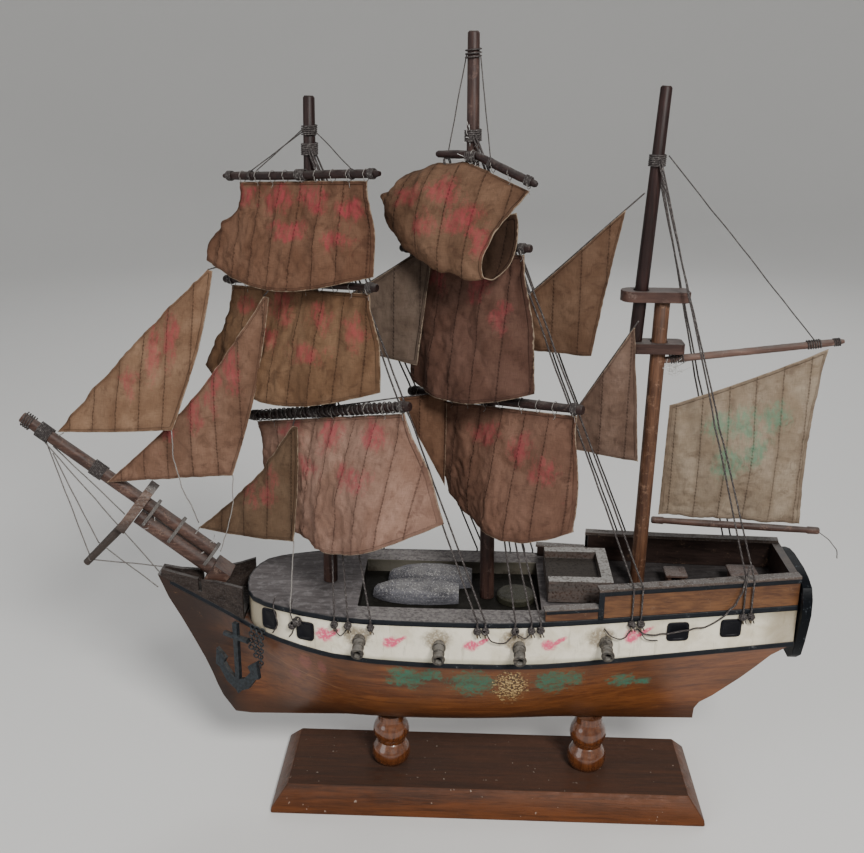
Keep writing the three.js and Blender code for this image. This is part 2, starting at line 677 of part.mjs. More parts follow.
// plank with rounded fore end; the lower mast passes through, the topmast stands on it or passes too
function mastPlank(x0, x1, z, holes) {
  const w = PLANK_W / 2;
  const outline = [
    [x0 + 1, -w * 0.6], [x0 + 3, -w * 0.92], [x0 + 6, -w], [x1 - 1.5, -w], [x1, -w + 1.5],
    [x1, w - 1.5], [x1 - 1.5, w], [x0 + 6, w], [x0 + 3, w * 0.92], [x0 + 1, w * 0.6], [x0, 0],
  ];
  const body = plate(outline, 'z', z, z + PLANK_T);
  const tools = holes.map(([x, r]) => rod(V(x, 0, z - 3), V(x, 0, z + PLANK_T + 3), r, r, 14));
  return cut(body, ...tools);
}
function heelPlank(lower, topmast, heel, fore, aft) {
  const z = heel - GAP - PLANK_T;
  return mastPlank(topmast(heel) - fore, lower(heel) + aft, z, [[lower(z + 2), LOWER_R + MAST_FIT]]);
}
add('fore_top', heelPlank(foreLower, foreTopmast, FORE_HEEL, 5.5, 7), SPAR, 0.7);
add('main_top', heelPlank(mainLower, mainTopmast, MAIN_HEEL, 5.5, 7), SPAR, 0.7);
add('mizzen_top', heelPlank(mizzenLower, mizzenTopmast, MIZZEN_HEEL, 5, 10.5), SPAR, 0.7);
const MIZZEN_CAP_Z = MIZZEN_LOWER_TOP + GAP;
add('mizzen_cap', mastPlank(
  mizzenTopmast(MIZZEN_CAP_Z) - 8.5, mizzenLower(MIZZEN_LOWER_TOP) + 11, MIZZEN_CAP_Z,
  [[mizzenTopmast(MIZZEN_CAP_Z + 2), TOP_R + MAST_FIT]],
), SPAR, 0.7);

// ---------------------------------------------------------------- square sails
// across: from the starboard arm (forward) to the port arm (aft); ahead: square off the sail
const across = V(Math.sin(BRACE), -Math.cos(BRACE), 0);
const ahead = V(-Math.cos(BRACE), -Math.sin(BRACE), 0);

const RIGS = {
  fore_topgallant: {
    axis: foreTopmast(294), mastR: TIP_R + 0.5, r: YARD_R, yard: [-44, 291, 40, 297],
    head: [-34, 34], foot: [-53, 254, 35, 256], droop: 8, belly: 9, hollow: 1.8, fullAft: 1,
    space: YARD_SPACE, lift: 312,
  },
  fore_topsail: {
    axis: foreTopmast(249), mastR: TOP_R, r: YARD_R, yard: [-46, 246, 39, 252],
    head: [-42, 35], foot: [-59, 205, 39, 208], droop: 9, belly: 11, hollow: 1.5,
    fullAft: 1.2, space: YARD_SPACE,
  },
  fore_course: {
    axis: foreLower(194), mastR: LOWER_R, r: COURSE_YARD_R, yard: [-40, 184, 50, 205],
    head: [-35, 47], foot: [-30, 144, 66, 157], droop: 13, belly: 17, hollow: 1.2,
    fullAft: 1.7, space: YARD_SPACE + 2.4,
  },
  main_topsail: {
    axis: mainTopmast(265), mastR: TOP_R, r: YARD_R, yard: [-33, 262, 31, 268],
    head: [-28, 28], foot: [-26, 206, 34, 208], droop: 5, belly: 10, hollow: 1.2,
    fullAft: 1.1, space: YARD_SPACE,
  },
  main_course: {
    axis: mainLower(200), mastR: LOWER_R, r: COURSE_YARD_R, yard: [-38, 197, 49, 204],
    head: [-33, 46], foot: [-10, 152, 47, 149], droop: 6, belly: 13, hollow: 1.4,
    fullAft: 1.3, space: YARD_SPACE,
  },
};

function rigPoint(rig, s, z, depth) {
  const off = rig.mastR + rig.r + rig.space + depth;
  return V(rig.axis, 0, z).addScaledVector(across, s).addScaledVector(ahead, off);
}
const yardZ = (rig, s) => {
  const [s0, z0, s1, z1] = rig.yard;
  return lerp(z0, z1, (s - s0) / (s1 - s0));
};

function yardSpar(a, b, r) {
  const long = a.distanceTo(b);
  const profile = [
    [0, r * 0.8], [0.6, r], [5, r * 1.05], [5.5, r * 0.85], [long * 0.3, r], [long * 0.7, r],
    [long - 5.5, r * 0.85], [long - 5, r * 1.05], [long - 0.6, r], [long, r * 0.8],
  ];
  return turned(a, b, profile, 10);
}

function yard(rig) {
  const [s0, z0, s1, z1] = rig.yard;
  const spar = yardSpar(rigPoint(rig, s0, z0, 0), rigPoint(rig, s1, z1, 0), rig.r);
  if (!rig.lift) return spar;
  return join([spar, ...lifts(rig, [s0 + 19, s1 - 12])]);
}

// lifts run from a ring round the masthead to the yard
function lifts(rig, feet) {
  const ring = collar(rig.axis, 0, rig.lift, rig.mastR + 0.6, 1.2, 3);
  const out = rig.mastR + 1.1;
  const lines = feet.map((s) => {
    const way = across.clone().multiplyScalar(Math.sign(s)).addScaledVector(ahead, 0.8).normalize();
    const top = V(rig.axis, 0, rig.lift + 1.2).addScaledVector(way, out);
    return thread([top, rigPoint(rig, s, yardZ(rig, s), 0)]);
  });
  return [ring, ...lines];
}

function squareSail(rig) {
  const [f0, fz0, f1, fz1] = rig.foot;
  return sheet((a, b) => {
    const headS = lerp(rig.head[0], rig.head[1], a);
    const headZ = yardZ(rig, headS) - rig.r - HEAD_DROP - SAIL_T;
    const footS = lerp(f0, f1, a);
    const footZ = lerp(fz0, fz1, a) - rig.droop * Math.sin(Math.PI * a);
    const share = Math.pow(b, lerp(rig.hollow, 1, a));
    const s = lerp(headS, footS, share);
    const z = lerp(headZ, footZ, b);
    const swell = Math.pow(Math.sin(Math.PI * Math.pow(a, rig.fullAft)), 0.75);
    const depth = rig.belly * swell * Math.sin(Math.PI / 2 * b) + 3 * b * b;
    return rigPoint(rig, s, z, depth);
  }, 8, 6);
}

for (const [name, rig] of Object.entries(RIGS)) {
  add(`${name}_yard`, yard(rig), SPAR, 0.6);
  add(`${name}_sail`, squareSail(rig), CLOTH, 0.95);
}

// main topgallant: its yard is cracked in the middle and hangs bent, so the sail curls round
const mainTg = {
  axis: mainTopmast(303), mastR: TIP_R + 0.5, r: YARD_R, space: YARD_SPACE, lift: 318,
};
const CRACK = [4, 303];
const TG_LEFT = [-33, 292];
const TG_RIGHT = [33, 293];
function crackedYard() {
  const mid = rigPoint(mainTg, CRACK[0], CRACK[1], 1.2);
  const left = yardSpar(rigPoint(mainTg, TG_LEFT[0], TG_LEFT[1], 3), mid, mainTg.r);
  const right = yardSpar(mid, rigPoint(mainTg, TG_RIGHT[0], TG_RIGHT[1], 0), mainTg.r);
  const knot = new THREE.SphereGeometry(mainTg.r * 1.25, 8, 6).translate(mid.x, mid.y, mid.z);
  const ring = collar(mainTg.axis, 0, mainTg.lift, mainTg.mastR + 0.6, 1.2, 3);
  const top = (way) => V(mainTg.axis, 0, mainTg.lift + 1.2).addScaledVector(way, mainTg.mastR + 1.1);
  const lines = [[-14, 297.6], [14, 300]].map(([s, z]) => {
    const way = across.clone().multiplyScalar(Math.sign(s)).addScaledVector(ahead, 0.8).normalize();
    return thread([top(way), rigPoint(mainTg, s, z, s < 0 ? 2 : 0.9)]);
  });
  return join([left, knot, right, ring, ...lines]);
}
function curledSail() {
  return sheet((a, b) => {
    const headS = lerp(-30, 30, a);
    const peak = headS < CRACK[0]
      ? lerp(TG_LEFT[1], CRACK[1], (headS - TG_LEFT[0]) / (CRACK[0] - TG_LEFT[0]))
      : lerp(CRACK[1], TG_RIGHT[1], (headS - CRACK[0]) / (TG_RIGHT[0] - CRACK[0]));
    const headZ = peak - mainTg.r - HEAD_DROP - SAIL_T;
    const footS = lerp(-24, 20, a);
    const footZ = lerp(272, 262, a) - 9 * Math.sin(Math.PI * a);
    const bulge = Math.sin(Math.PI * Math.min(b * 1.15, 1)) * (1 - a);
    const s = lerp(headS, footS, Math.pow(b, 1.5)) - 14 * bulge;
    const z = lerp(headZ, footZ, b);
    const swell = Math.pow(Math.sin(Math.PI * a), 0.7) * Math.sin(Math.PI / 2 * b);
    const depth = lerp(2.2, 0, a) + 14 * swell + 3 * bulge + 7 * b * b;
    return rigPoint(mainTg, s, z, depth);
  }, 8, 7);
}
add('main_topgallant_yard', crackedYard(), SPAR, 0.6);
add('main_topgallant_sail', curledSail(), CLOTH, 0.95);

// ---------------------------------------------------------------- fore-and-aft sails
// corners run peak, tack, clew; a stay runs along the luff, or along the line given
function triangleSail(peak, tack, clew, belly, stay) {
  const headW = 2.2;
  const cloth = sheet((a, b) => {
    const left = peak.clone().lerp(tack, b);
    const right = peak.clone().add(V(headW, 0, -0.6)).lerp(clew, b);
    const p = left.lerp(right, a);
    p.y -= belly * Math.sin(Math.PI * a) * Math.sin(Math.PI * Math.min(b * 0.8, 0.8));
    return p;
  }, 5, 6);
  if (!stay) return cloth;
  return join([cloth, thread(stay)]);
}
function along(a, b, distance) {
  return a.clone().addScaledVector(b.clone().sub(a).normalize(), distance);
}
function staysail(peak, tack, clew, belly, before, after) {
  const low = along(tack, peak, -before);
  const high = along(peak, tack, -after);
  return triangleSail(peak, tack, clew, belly, [low, high]);
}
// tack of a head sail on top of the jib boom
function boomTop(x, rise = 1) {
  const t = (x - BOOM_TIP.x) / headWay.x;
  return BOOM_TIP.clone().addScaledVector(headWay, t).addScaledVector(headUp, JIB_BOOM_R + rise);
}
const yardTip = rigPoint(RIGS.fore_topsail, RIGS.fore_topsail.yard[0] - 1.1, RIGS.fore_topsail.yard[1], 0);
add('flying_jib', triangleSail(
  V(-128.5, 16.6, 250.6), boomTop(-197), V(-141, -13.5, 185.6), 2.5, [V(-129.6, 16.6, 249.8), yardTip],
), CLOTH, 0.95);
add('inner_jib', staysail(V(-100, -4, 243.5), boomTop(-179), V(-117, -6.5, 162.4), 3, 0, 16),
  CLOTH, 0.95);
add('fore_staysail', staysail(V(-89, -7, 186.6), V(-135, -1.2, 134), V(-88.5, -19.5, 136.6), 3, 0, 2),
  CLOTH, 0.95);

// four-sided staysails between the masts
function quadSail(corners, belly, stay) {
  const [peak, tack, foot, clew] = corners;
  const cloth = sheet((a, b) => {
    const left = tack.clone().lerp(foot, b);
    const right = peak.clone().lerp(clew, b);
    const p = left.lerp(right, a);
    p.y -= belly * Math.sin(Math.PI * a) * Math.sin(Math.PI * (0.15 + 0.7 * b));
    return p;
  }, 6, 4);
  return join([cloth, thread(stay)]);
}
const STAY_SPACE = 0.5;         // end of a stay to its mast
const aheadOf = (line, z, r) => line(z) - r - STAY_SPACE;
const MTS = { low: V(-75.5, 0.5, 236), high: V(aheadOf(mainTopmast, 275, TOP_R), 0.5, 275) };
const onMts = (x) => MTS.low.clone().lerp(MTS.high, (x - MTS.low.x) / (MTS.high.x - MTS.low.x));
add('main_topmast_staysail', quadSail(
  [onMts(-28), onMts(-66), V(-66, -4, 222), V(-34.5, -9, 215.5)], 1.5, [MTS.low, MTS.high],
), 0x7d7468, 0.95);
const MS = {
  low: V(foreLower(194) + LOWER_R + STAY_SPACE, -0.4, 194),
  high: V(aheadOf(mainLower, 204, LOWER_R), -0.4, 204),
};
const onMs = (x) => MS.low.clone().lerp(MS.high, (x - MS.low.x) / (MS.high.x - MS.low.x));
add('main_staysail', triangleSail(onMs(-24), onMs(-43), V(-22, -10, 161), 1.2, [MS.low, MS.high]),
  0x7d7468, 0.95);
const ZTS = { low: V(0.4, -0.5, 234), high: V(58.2, -0.5, 288) };
const onZts = (x) => ZTS.low.clone().lerp(ZTS.high, (x - ZTS.low.x) / (ZTS.high.x - ZTS.low.x));
add('mizzen_topmast_staysail', quadSail(
  [onZts(51), onZts(4), V(5, -0.5, 222), V(40, -1, 219)], 4, [ZTS.low, ZTS.high],
), CLOTH, 0.95);
const ZS = { low: V(4, -5, 146), high: V(58.4, -6.9, 236) };
const onZs = (x) => ZS.low.clone().lerp(ZS.high, (x - ZS.low.x) / (ZS.high.x - ZS.low.x));
add('mizzen_staysail', quadSail(
  [onZs(57), onZs(35), V(34.4, -5.6, 178), V(62.5, -6.6, 173)], 2.4, [ZS.low, ZS.high],
), CLOTH, 0.95);

// spanker on its gaff and boom
const GAFF = { jaw: V(72.9, 0, 217.5), peak: V(147, 0, 227) };
const SPANKER_BOOM = { jaw: V(71.6, 0, 142.6), end: V(147, 0, 139) };
const GAFF_R = 1.6;
const SPAN_TOP = V(68.6, 0, 303);
function gaff() {
  const spar = yardSpar(GAFF.jaw, GAFF.peak, GAFF_R);
  const span = thread([SPAN_TOP, V(134, 0, 225.6)]);
  return join([spar, span]);
}
add('gaff', gaff(), SPAR, 0.6);
add('spanker_boom', yardSpar(SPANKER_BOOM.jaw, SPANKER_BOOM.end, GAFF_R + 0.1), SPAR, 0.6);
add('spanker_sail', sheet((a, b) => {
  const head = V(lerp(75.5, 141, a), 0, lerp(197, 223.4, a) - 1 * Math.sin(Math.PI * a));
  const foot = V(lerp(74.5, 138, a), 0, lerp(145.4, 142.2, a));
  const p = head.lerp(foot, b);
  p.y -= 5 * Math.sin(Math.PI * a) * Math.sin(Math.PI * b);
  p.x -= 2.4 * a * Math.sin(Math.PI * b);
  return p;
}, 8, 6), CLOTH, 0.95);

// ---------------------------------------------------------------- standing rigging
// shrouds and backstays run from wraps round the masts, over the rail, to eyes in the side
function railHeight(x) {
  if (x < STEP_FORE_X - 1) return 0;
  return x < STEP_AFT_X + 1 ? STEP_H : RAIL_H;
}
function led(start, x, side) {
  const y = side * (upperHalf(x) + GAP + LINE_R + 0.2);
  const knee = V(x, y, deckTop(x) + railHeight(x) + 0.9);
  const eye = V(x, y, deckTop(x) - 4.5);
  return [...strand([start, knee, eye]), new THREE.OctahedronGeometry(0.68, 1).translate(x, y, eye.z)];
}
function rigging(wraps, tie) {
  const pieces = [];
  for (const { line, z, mastR, feet } of wraps) {
    const x = line(z + 2);
    pieces.push(collar(x, 0, z, mastR + 0.5, 1.1, 4));
    for (const side of [-1, 1]) {
      feet.forEach((foot, i) => {
        const start = V(x + i * 0.8, side * (mastR + 1), z + 1 + i * 0.8);
        pieces.push(...led(start, foot, side));
      });
    }
  }
  if (tie) pieces.push(thread(tie));
  return join(pieces);
}
// point of a backstay at a height, for what is tied to it
function onStay(wrap, i, z) {
  const x = wrap.line(wrap.z + 2);
  const foot = wrap.feet[i];
  const start = V(x + i * 0.8, -(wrap.mastR + 1), wrap.z + 1 + i * 0.8);
  const y = -(upperHalf(foot) + GAP + LINE_R + 0.2);
  const knee = V(foot, y, deckTop(foot) + railHeight(foot) + 0.9);
  return start.lerp(knee, (start.z - z) / (start.z - knee.z));
}
const FORE_WRAPS = [
  { line: foreLower, z: 198.4, mastR: LOWER_R, feet: [-69, -63, -53] },
  { line: foreTopmast, z: 303, mastR: TIP_R + 0.2, feet: [-6.5, -3] },
];
const MAIN_WRAPS = [
  { line: mainLower, z: 189, mastR: LOWER_R, feet: [10, 17, 21] },
  { line: mainTopmast, z: 309, mastR: TIP_R + 0.3, feet: [61, 65] },
];
const MIZZEN_WRAPS = [
  { line: mizzenTopmast, z: 300, mastR: TIP_R + 0.4, feet: [114, 110.5] },
];
add('fore_shrouds', rigging(
  FORE_WRAPS, [V(foreLower(200) + LOWER_R + 1, -0.6, 200.4), onStay(FORE_WRAPS[1], 0, 205)],
), THREAD, 0.9);
add('main_shrouds', rigging(
  MAIN_WRAPS, [V(mainLower(191) + LOWER_R + 1, -1.2, 191), onStay(MAIN_WRAPS[1], 0, 196)],
), THREAD, 0.9);
add('mizzen_shrouds', rigging(MIZZEN_WRAPS), THREAD, 0.9);

export default parts;
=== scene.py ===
# Model sailing ship: finishes, sails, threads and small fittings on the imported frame.
# Bow at -X, stern at +X, port side at -Y. Sizes in the tables below are in millimetres.
import math
import bpy
from mathutils import Matrix, Vector, noise


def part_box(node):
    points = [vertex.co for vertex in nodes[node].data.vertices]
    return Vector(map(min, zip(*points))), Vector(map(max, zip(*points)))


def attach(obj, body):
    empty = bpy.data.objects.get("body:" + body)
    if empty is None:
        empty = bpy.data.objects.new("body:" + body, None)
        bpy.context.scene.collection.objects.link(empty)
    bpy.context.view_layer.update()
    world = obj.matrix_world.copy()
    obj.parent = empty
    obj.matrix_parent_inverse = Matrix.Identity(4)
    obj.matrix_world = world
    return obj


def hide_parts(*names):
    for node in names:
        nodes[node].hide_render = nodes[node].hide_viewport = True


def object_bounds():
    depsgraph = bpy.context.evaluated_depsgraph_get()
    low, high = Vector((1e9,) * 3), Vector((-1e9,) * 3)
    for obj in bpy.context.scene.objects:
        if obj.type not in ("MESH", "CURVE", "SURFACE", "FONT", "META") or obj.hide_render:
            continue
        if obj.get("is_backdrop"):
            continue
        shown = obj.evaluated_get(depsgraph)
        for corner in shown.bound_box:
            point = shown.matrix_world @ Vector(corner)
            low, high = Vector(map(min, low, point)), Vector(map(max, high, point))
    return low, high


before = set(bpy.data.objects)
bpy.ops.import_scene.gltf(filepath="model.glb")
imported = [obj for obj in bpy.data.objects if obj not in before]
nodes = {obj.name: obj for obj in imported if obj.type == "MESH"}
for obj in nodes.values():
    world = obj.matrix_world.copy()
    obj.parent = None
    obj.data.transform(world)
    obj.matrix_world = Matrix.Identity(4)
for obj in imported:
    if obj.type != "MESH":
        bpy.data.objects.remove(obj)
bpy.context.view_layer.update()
MM = 0.001


def P(x, y, z):
    return Vector((x, y, z)) * MM


def lerp(a, b, t):
    return a + (b - a) * t


def smooth(low, high, value):
    t = min(max((value - low) / (high - low), 0), 1)
    return t * t * (3 - 2 * t)


def table(rows, key):
    if key <= rows[0][0]:
        return rows[0][1]
    for (k0, v0), (k1, v1) in zip(rows, rows[1:]):
        if key <= k1:
            return lerp(v0, v1, (key - k0) / (k1 - k0))
    return rows[-1][1]


def low_of(node):
    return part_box(node)[0] / MM


def high_of(node):
    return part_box(node)[1] / MM


# ---------------------------------------------------------------- camera
def camera():
    pitch, yaw, roll = math.radians(18.75), math.radians(-2.07), math.radians(0.46)
    look = Vector((math.sin(yaw) * math.cos(pitch), math.cos(yaw) * math.cos(pitch), -math.sin(pitch)))
    right = Vector((math.cos(yaw), -math.sin(yaw), 0))
    up = right.cross(look)
    right, up = (right * math.cos(roll) + up * math.sin(roll),
                 up * math.cos(roll) - right * math.sin(roll))
    place = Matrix((right, up, -look)).transposed().to_4x4()
    place.translation = P(-11.9, -450.7, 338.2)
    data = bpy.data.cameras.new("camera")
    data.lens = 44.75
    data.sensor_width = 36
    data.clip_start, data.clip_end = 0.01, 20
    eye = bpy.data.objects.new("camera", data)
    bpy.context.scene.collection.objects.link(eye)
    eye.matrix_world = place
    bpy.context.scene.camera = eye


camera()


# ---------------------------------------------------------------- shader nodes
class Net:
    """Places and joins the nodes of one tree."""

    def __init__(self, tree):
        self.tree = tree

    def put(self, socket, value):
        if isinstance(value, bpy.types.NodeSocket):
            self.tree.links.new(value, socket)
        elif value is not None:
            if socket.type == "RGBA" and len(value) == 3:
                value = (*value, 1)
            socket.default_value = value

    def add(self, kind, inputs=(), **settings):
        node = self.tree.nodes.new(kind)
        for key, value in settings.items():
            setattr(node, key, value)
        for key, value in dict(inputs).items():
            self.put(node.inputs[key], value)
        return node

    def calc(self, operation, a, b=None, c=None, clamp=False):
        node = self.add("ShaderNodeMath", operation=operation, use_clamp=clamp)
        for socket, value in zip(node.inputs, (a, b, c)):
            self.put(socket, value)
        return node.outputs[0]

    def turn(self, operation, a, b=None):
        node = self.add("ShaderNodeVectorMath", operation=operation)
        self.put(node.inputs[0], a)
        self.put(node.inputs[1], b)
        return node.outputs[0]

    def fade(self, value, low, high, out_low=0.0, out_high=1.0):
        node = self.add("ShaderNodeMapRange", interpolation_type="SMOOTHSTEP")
        for socket, v in zip(node.inputs, (value, low, high, out_low, out_high)):
            self.put(socket, v)
        return node.outputs[0]

    def mix(self, share, a, b, blend="MIX"):
        node = self.add("ShaderNodeMix", data_type="RGBA", blend_type=blend)
        self.put(node.inputs[0], share)
        self.put(node.inputs[6], a)
        self.put(node.inputs[7], b)
        return node.outputs[2]

    def cloud(self, where, scale, detail=3.0, rough=0.5, warp=0.0):
        node = self.add("ShaderNodeTexNoise", {
            "Vector": where, "Scale": scale, "Detail": detail, "Roughness": rough, "Distortion": warp,
        })
        return node.outputs[0]

    def stretch(self, where, scale):
        return self.turn("MULTIPLY", where, scale)

    def split(self, vector):
        return self.add("ShaderNodeSeparateXYZ", {0: vector}).outputs

    def place(self):
        return self.add("ShaderNodeTexCoord").outputs["Object"]

    def uv(self):
        return self.add("ShaderNodeTexCoord").outputs["UV"]

    def up(self):
        return self.split(self.add("ShaderNodeNewGeometry").outputs["Normal"])[2]

    def group(self, tree, **inputs):
        node = self.add("ShaderNodeGroup", node_tree=tree)
        for key, value in inputs.items():
            self.put(node.inputs[key.replace("_", " ")], value)
        return node.outputs

    def bump(self, height, depth, strength=1.0):
        return self.add("ShaderNodeBump", {
            "Height": height, "Distance": depth, "Strength": strength,
        }).outputs[0]


def shader_group(name, inputs, outputs):
    tree = bpy.data.node_groups.new(name, "ShaderNodeTree")
    for label, value in inputs.items():
        kind = "NodeSocketVector" if isinstance(value, tuple) else "NodeSocketFloat"
        socket = tree.interface.new_socket(name=label, in_out="INPUT", socket_type=kind)
        socket.default_value = value
    for label, kind in outputs.items():
        tree.interface.new_socket(name=label, in_out="OUTPUT", socket_type=kind)
    net = Net(tree)
    return tree, net, net.add("NodeGroupInput").outputs, net.add("NodeGroupOutput").inputs


FLOAT = "NodeSocketFloat"


def wood_grain():
    """Streaks along X, crossed by slow bands; Shade runs 0 to 1."""
    tree, net, given, out = shader_group(
        "wood grain", {"Place": (0, 0, 0), "Fineness": 1.0, "Length": 14.0},
        {"Shade": FLOAT, "Height": FLOAT},
    )
    x, y, z = net.split(given["Place"])
    long = net.calc("DIVIDE", x, given["Length"])
    where = net.add("ShaderNodeCombineXYZ", {0: long, 1: y, 2: z}).outputs[0]
    where = net.add("ShaderNodeVectorMath", operation="SCALE", inputs={0: where, 3: given["Fineness"]}).outputs[0]
    fine = net.cloud(where, 900, 5, 0.65, 0.4)
    broad = net.cloud(where, 150, 3, 0.5, 1.2)
    both = net.calc("ADD", net.calc("MULTIPLY", fine, 0.55), net.calc("MULTIPLY", broad, 0.45))
    net.put(out["Shade"], net.fade(both, 0.36, 0.64))
    net.put(out["Height"], fine)
    return tree


def settled_dust():
    """Grey dust that lies on what faces up, thin and patchy."""
    tree, net, given, out = shader_group(
        "settled dust", {"Place": (0, 0, 0), "Amount": 0.5, "Spread": 1.0}, {"Mask": FLOAT},
    )
    facing = net.fade(net.up(), 0.25, 0.9)
    patch = net.fade(net.cloud(given["Place"], 210, 5, 0.62), 0.3, 0.62)
    speck = net.fade(net.cloud(given["Place"], 1500, 2, 0.6), 0.5, 0.68)
    both = net.calc("ADD", net.calc("MULTIPLY", patch, 0.7), net.calc("MULTIPLY", speck, 0.45))
    film = net.calc("MULTIPLY", both, net.calc("MULTIPLY", facing, given["Spread"]), clamp=True)
    net.put(out["Mask"], net.calc("MULTIPLY", film, given["Amount"], clamp=True))
    return tree


def worn_patches():
    """Scuffed spots where a finish has rubbed thin."""
    tree, net, given, out = shader_group(
        "worn patches", {"Place": (0, 0, 0), "Size": 1.0, "Amount": 0.4}, {"Mask": FLOAT},
    )
    where = net.add("ShaderNodeVectorMath", operation="SCALE",
                    inputs={0: given["Place"], 3: given["Size"]}).outputs[0]
    wide = net.cloud(where, 130, 4, 0.6, 0.6)
    fine = net.cloud(where, 900, 3, 0.7)
    both = net.calc("ADD", net.calc("MULTIPLY", wide, 0.6), net.calc("MULTIPLY", fine, 0.4))
    edge = net.calc("SUBTRACT", 0.72, net.calc("MULTIPLY", given["Amount"], 0.34))
    node = net.add("ShaderNodeMapRange", {0: both, 1: edge, 2: net.calc("ADD", edge, 0.09)})
    net.put(out["Mask"], node.outputs[0])
    return tree


def paint_blot():
    """One faded dab of paint with a ragged edge, round a point in the side view."""
    tree, net, given, out = shader_group(
        "paint blot",
        {"Place": (0, 0, 0), "Middle X": 0.0, "Middle Z": 0.0, "Half Length": 0.01,
         "Half Height": 0.005, "Ragged": 0.8, "Slant": 0.0},
        {"Mask": FLOAT},
    )
    x, _, z = net.split(given["Place"])
    above = net.calc("SUBTRACT", z, given["Middle Z"])
    leaning = net.calc("ADD", given["Middle X"], net.calc("MULTIPLY", above, given["Slant"]))
    a = net.calc("DIVIDE", net.calc("SUBTRACT", x, leaning), given["Half Length"])
    b = net.calc("DIVIDE", above, given["Half Height"])
    away = net.calc("SQRT", net.calc("ADD", net.calc("MULTIPLY", a, a), net.calc("MULTIPLY", b, b)))
    torn = net.cloud(given["Place"], 330, 4, 0.65, 0.8)
    torn = net.calc("MULTIPLY", net.calc("SUBTRACT", torn, 0.5), given["Ragged"])
    reach = net.calc("ADD", away, net.calc("MULTIPLY", torn, 3.2))
    body = net.fade(reach, 1.1, 0.55)
    thin = net.fade(net.cloud(given["Place"], 900, 3, 0.6), 0.3, 0.55, 0.45, 1)
    net.put(out["Mask"], net.calc("MULTIPLY", body, thin))
    return tree


def plain_weave():
    """Over-and-under threads of cotton, on a flat layout in metres."""
    tree, net, given, out = shader_group(
        "plain weave", {"Layout": (0, 0, 0), "Pitch": 0.00055}, {"Height": FLOAT, "Tone": FLOAT},
    )
    u, v, _ = net.split(given["Layout"])
    wave = net.calc("DIVIDE", 2 * math.pi, given["Pitch"])
    across = net.calc("SINE", net.calc("MULTIPLY", u, wave))
    down = net.calc("SINE", net.calc("MULTIPLY", v, wave))
    net.put(out["Height"], net.calc("ADD", net.calc("MULTIPLY", across, 0.5), net.calc("MULTIPLY", down, 0.5)))
    slub = net.cloud(net.stretch(given["Layout"], (5000, 260, 1)), 1.0, 2, 0.5)
    slub_down = net.cloud(net.stretch(given["Layout"], (260, 5000, 1)), 1.0, 2, 0.5)
    net.put(out["Tone"], net.calc("MULTIPLY", net.calc("ADD", slub, slub_down), 0.5))
    return tree


def twisted_lay():
    """Strands of a thread: the layout runs round the thread and along it."""
    tree, net, given, out = shader_group(
        "twisted lay", {"Layout": (0, 0, 0), "Strands": 3.0}, {"Height": FLOAT},
    )
    u, v, _ = net.split(given["Layout"])
    turn = net.calc("ADD", net.calc("MULTIPLY", u, given["Strands"]), net.calc("MULTIPLY", v, 0.9))
    net.put(out["Height"], net.calc("ABSOLUTE", net.calc("SINE", net.calc("MULTIPLY", turn, math.pi))))
    return tree


GRAIN = wood_grain()
DUST = settled_dust()
WORN = worn_patches()
BLOT = paint_blot()
WEAVE = plain_weave()
LAY = twisted_lay()


def new_material(name, **fixed):
    material = bpy.data.materials.new(name)
    material.use_nodes = True
    net = Net(material.node_tree)
    shader = material.node_tree.nodes["Principled BSDF"]
    for key, value in fixed.items():
        net.put(shader.inputs[key.replace("_", " ")], value)
    return material, net, shader.inputs


DUST_GREY = (0.13, 0.12, 0.112)


def stained_wood(name, dark, light, rough=0.5, fineness=1.0, along="X", dust=0.3, wear=0.3,
                 worn=(0.42, 0.32, 0.24), coat=0.0, length=14.0, grain_depth=0.00012):
    """Stained, rubbed wood; along names the axis that the grain follows."""
    material, net, shader = new_material(name, Coat_Weight=coat, Coat_Roughness=0.12, Specular_IOR_Level=0.3)
    where = net.place()
    turned = where
    if along == "Z":
        x, y, z = net.split(where)
        turned = net.add("ShaderNodeCombineXYZ", {0: z, 1: y, 2: x}).outputs[0]
    grain = net.group(GRAIN, Place=turned, Fineness=fineness, Length=length)
    colour = net.mix(grain["Shade"], dark, light)
    stain = net.fade(net.cloud(where, 45, 3, 0.5, 0.5), 0.35, 0.65)
    colour = net.mix(net.calc("MULTIPLY", stain, 0.45), colour, tuple(c * 0.45 for c in dark))
    scuffs = net.group(WORN, Place=where, Size=1.6, Amount=wear)["Mask"]
    colour = net.mix(net.calc("MULTIPLY", scuffs, 0.7), colour, worn)
    film = net.group(DUST, Place=where, Amount=dust, Spread=1.3)["Mask"]
    colour = net.mix(film, colour, DUST_GREY)
    net.put(shader["Base Color"], colour)
    roughness = net.calc("ADD", rough, net.calc("MULTIPLY", net.calc("ADD", scuffs, film), 0.3), clamp=True)
    net.put(shader["Roughness"], roughness)
    height = net.calc("ADD", grain["Height"], net.calc("MULTIPLY", scuffs, -0.5))
    net.put(shader["Normal"], net.bump(height, grain_depth, 0.7))
    return material


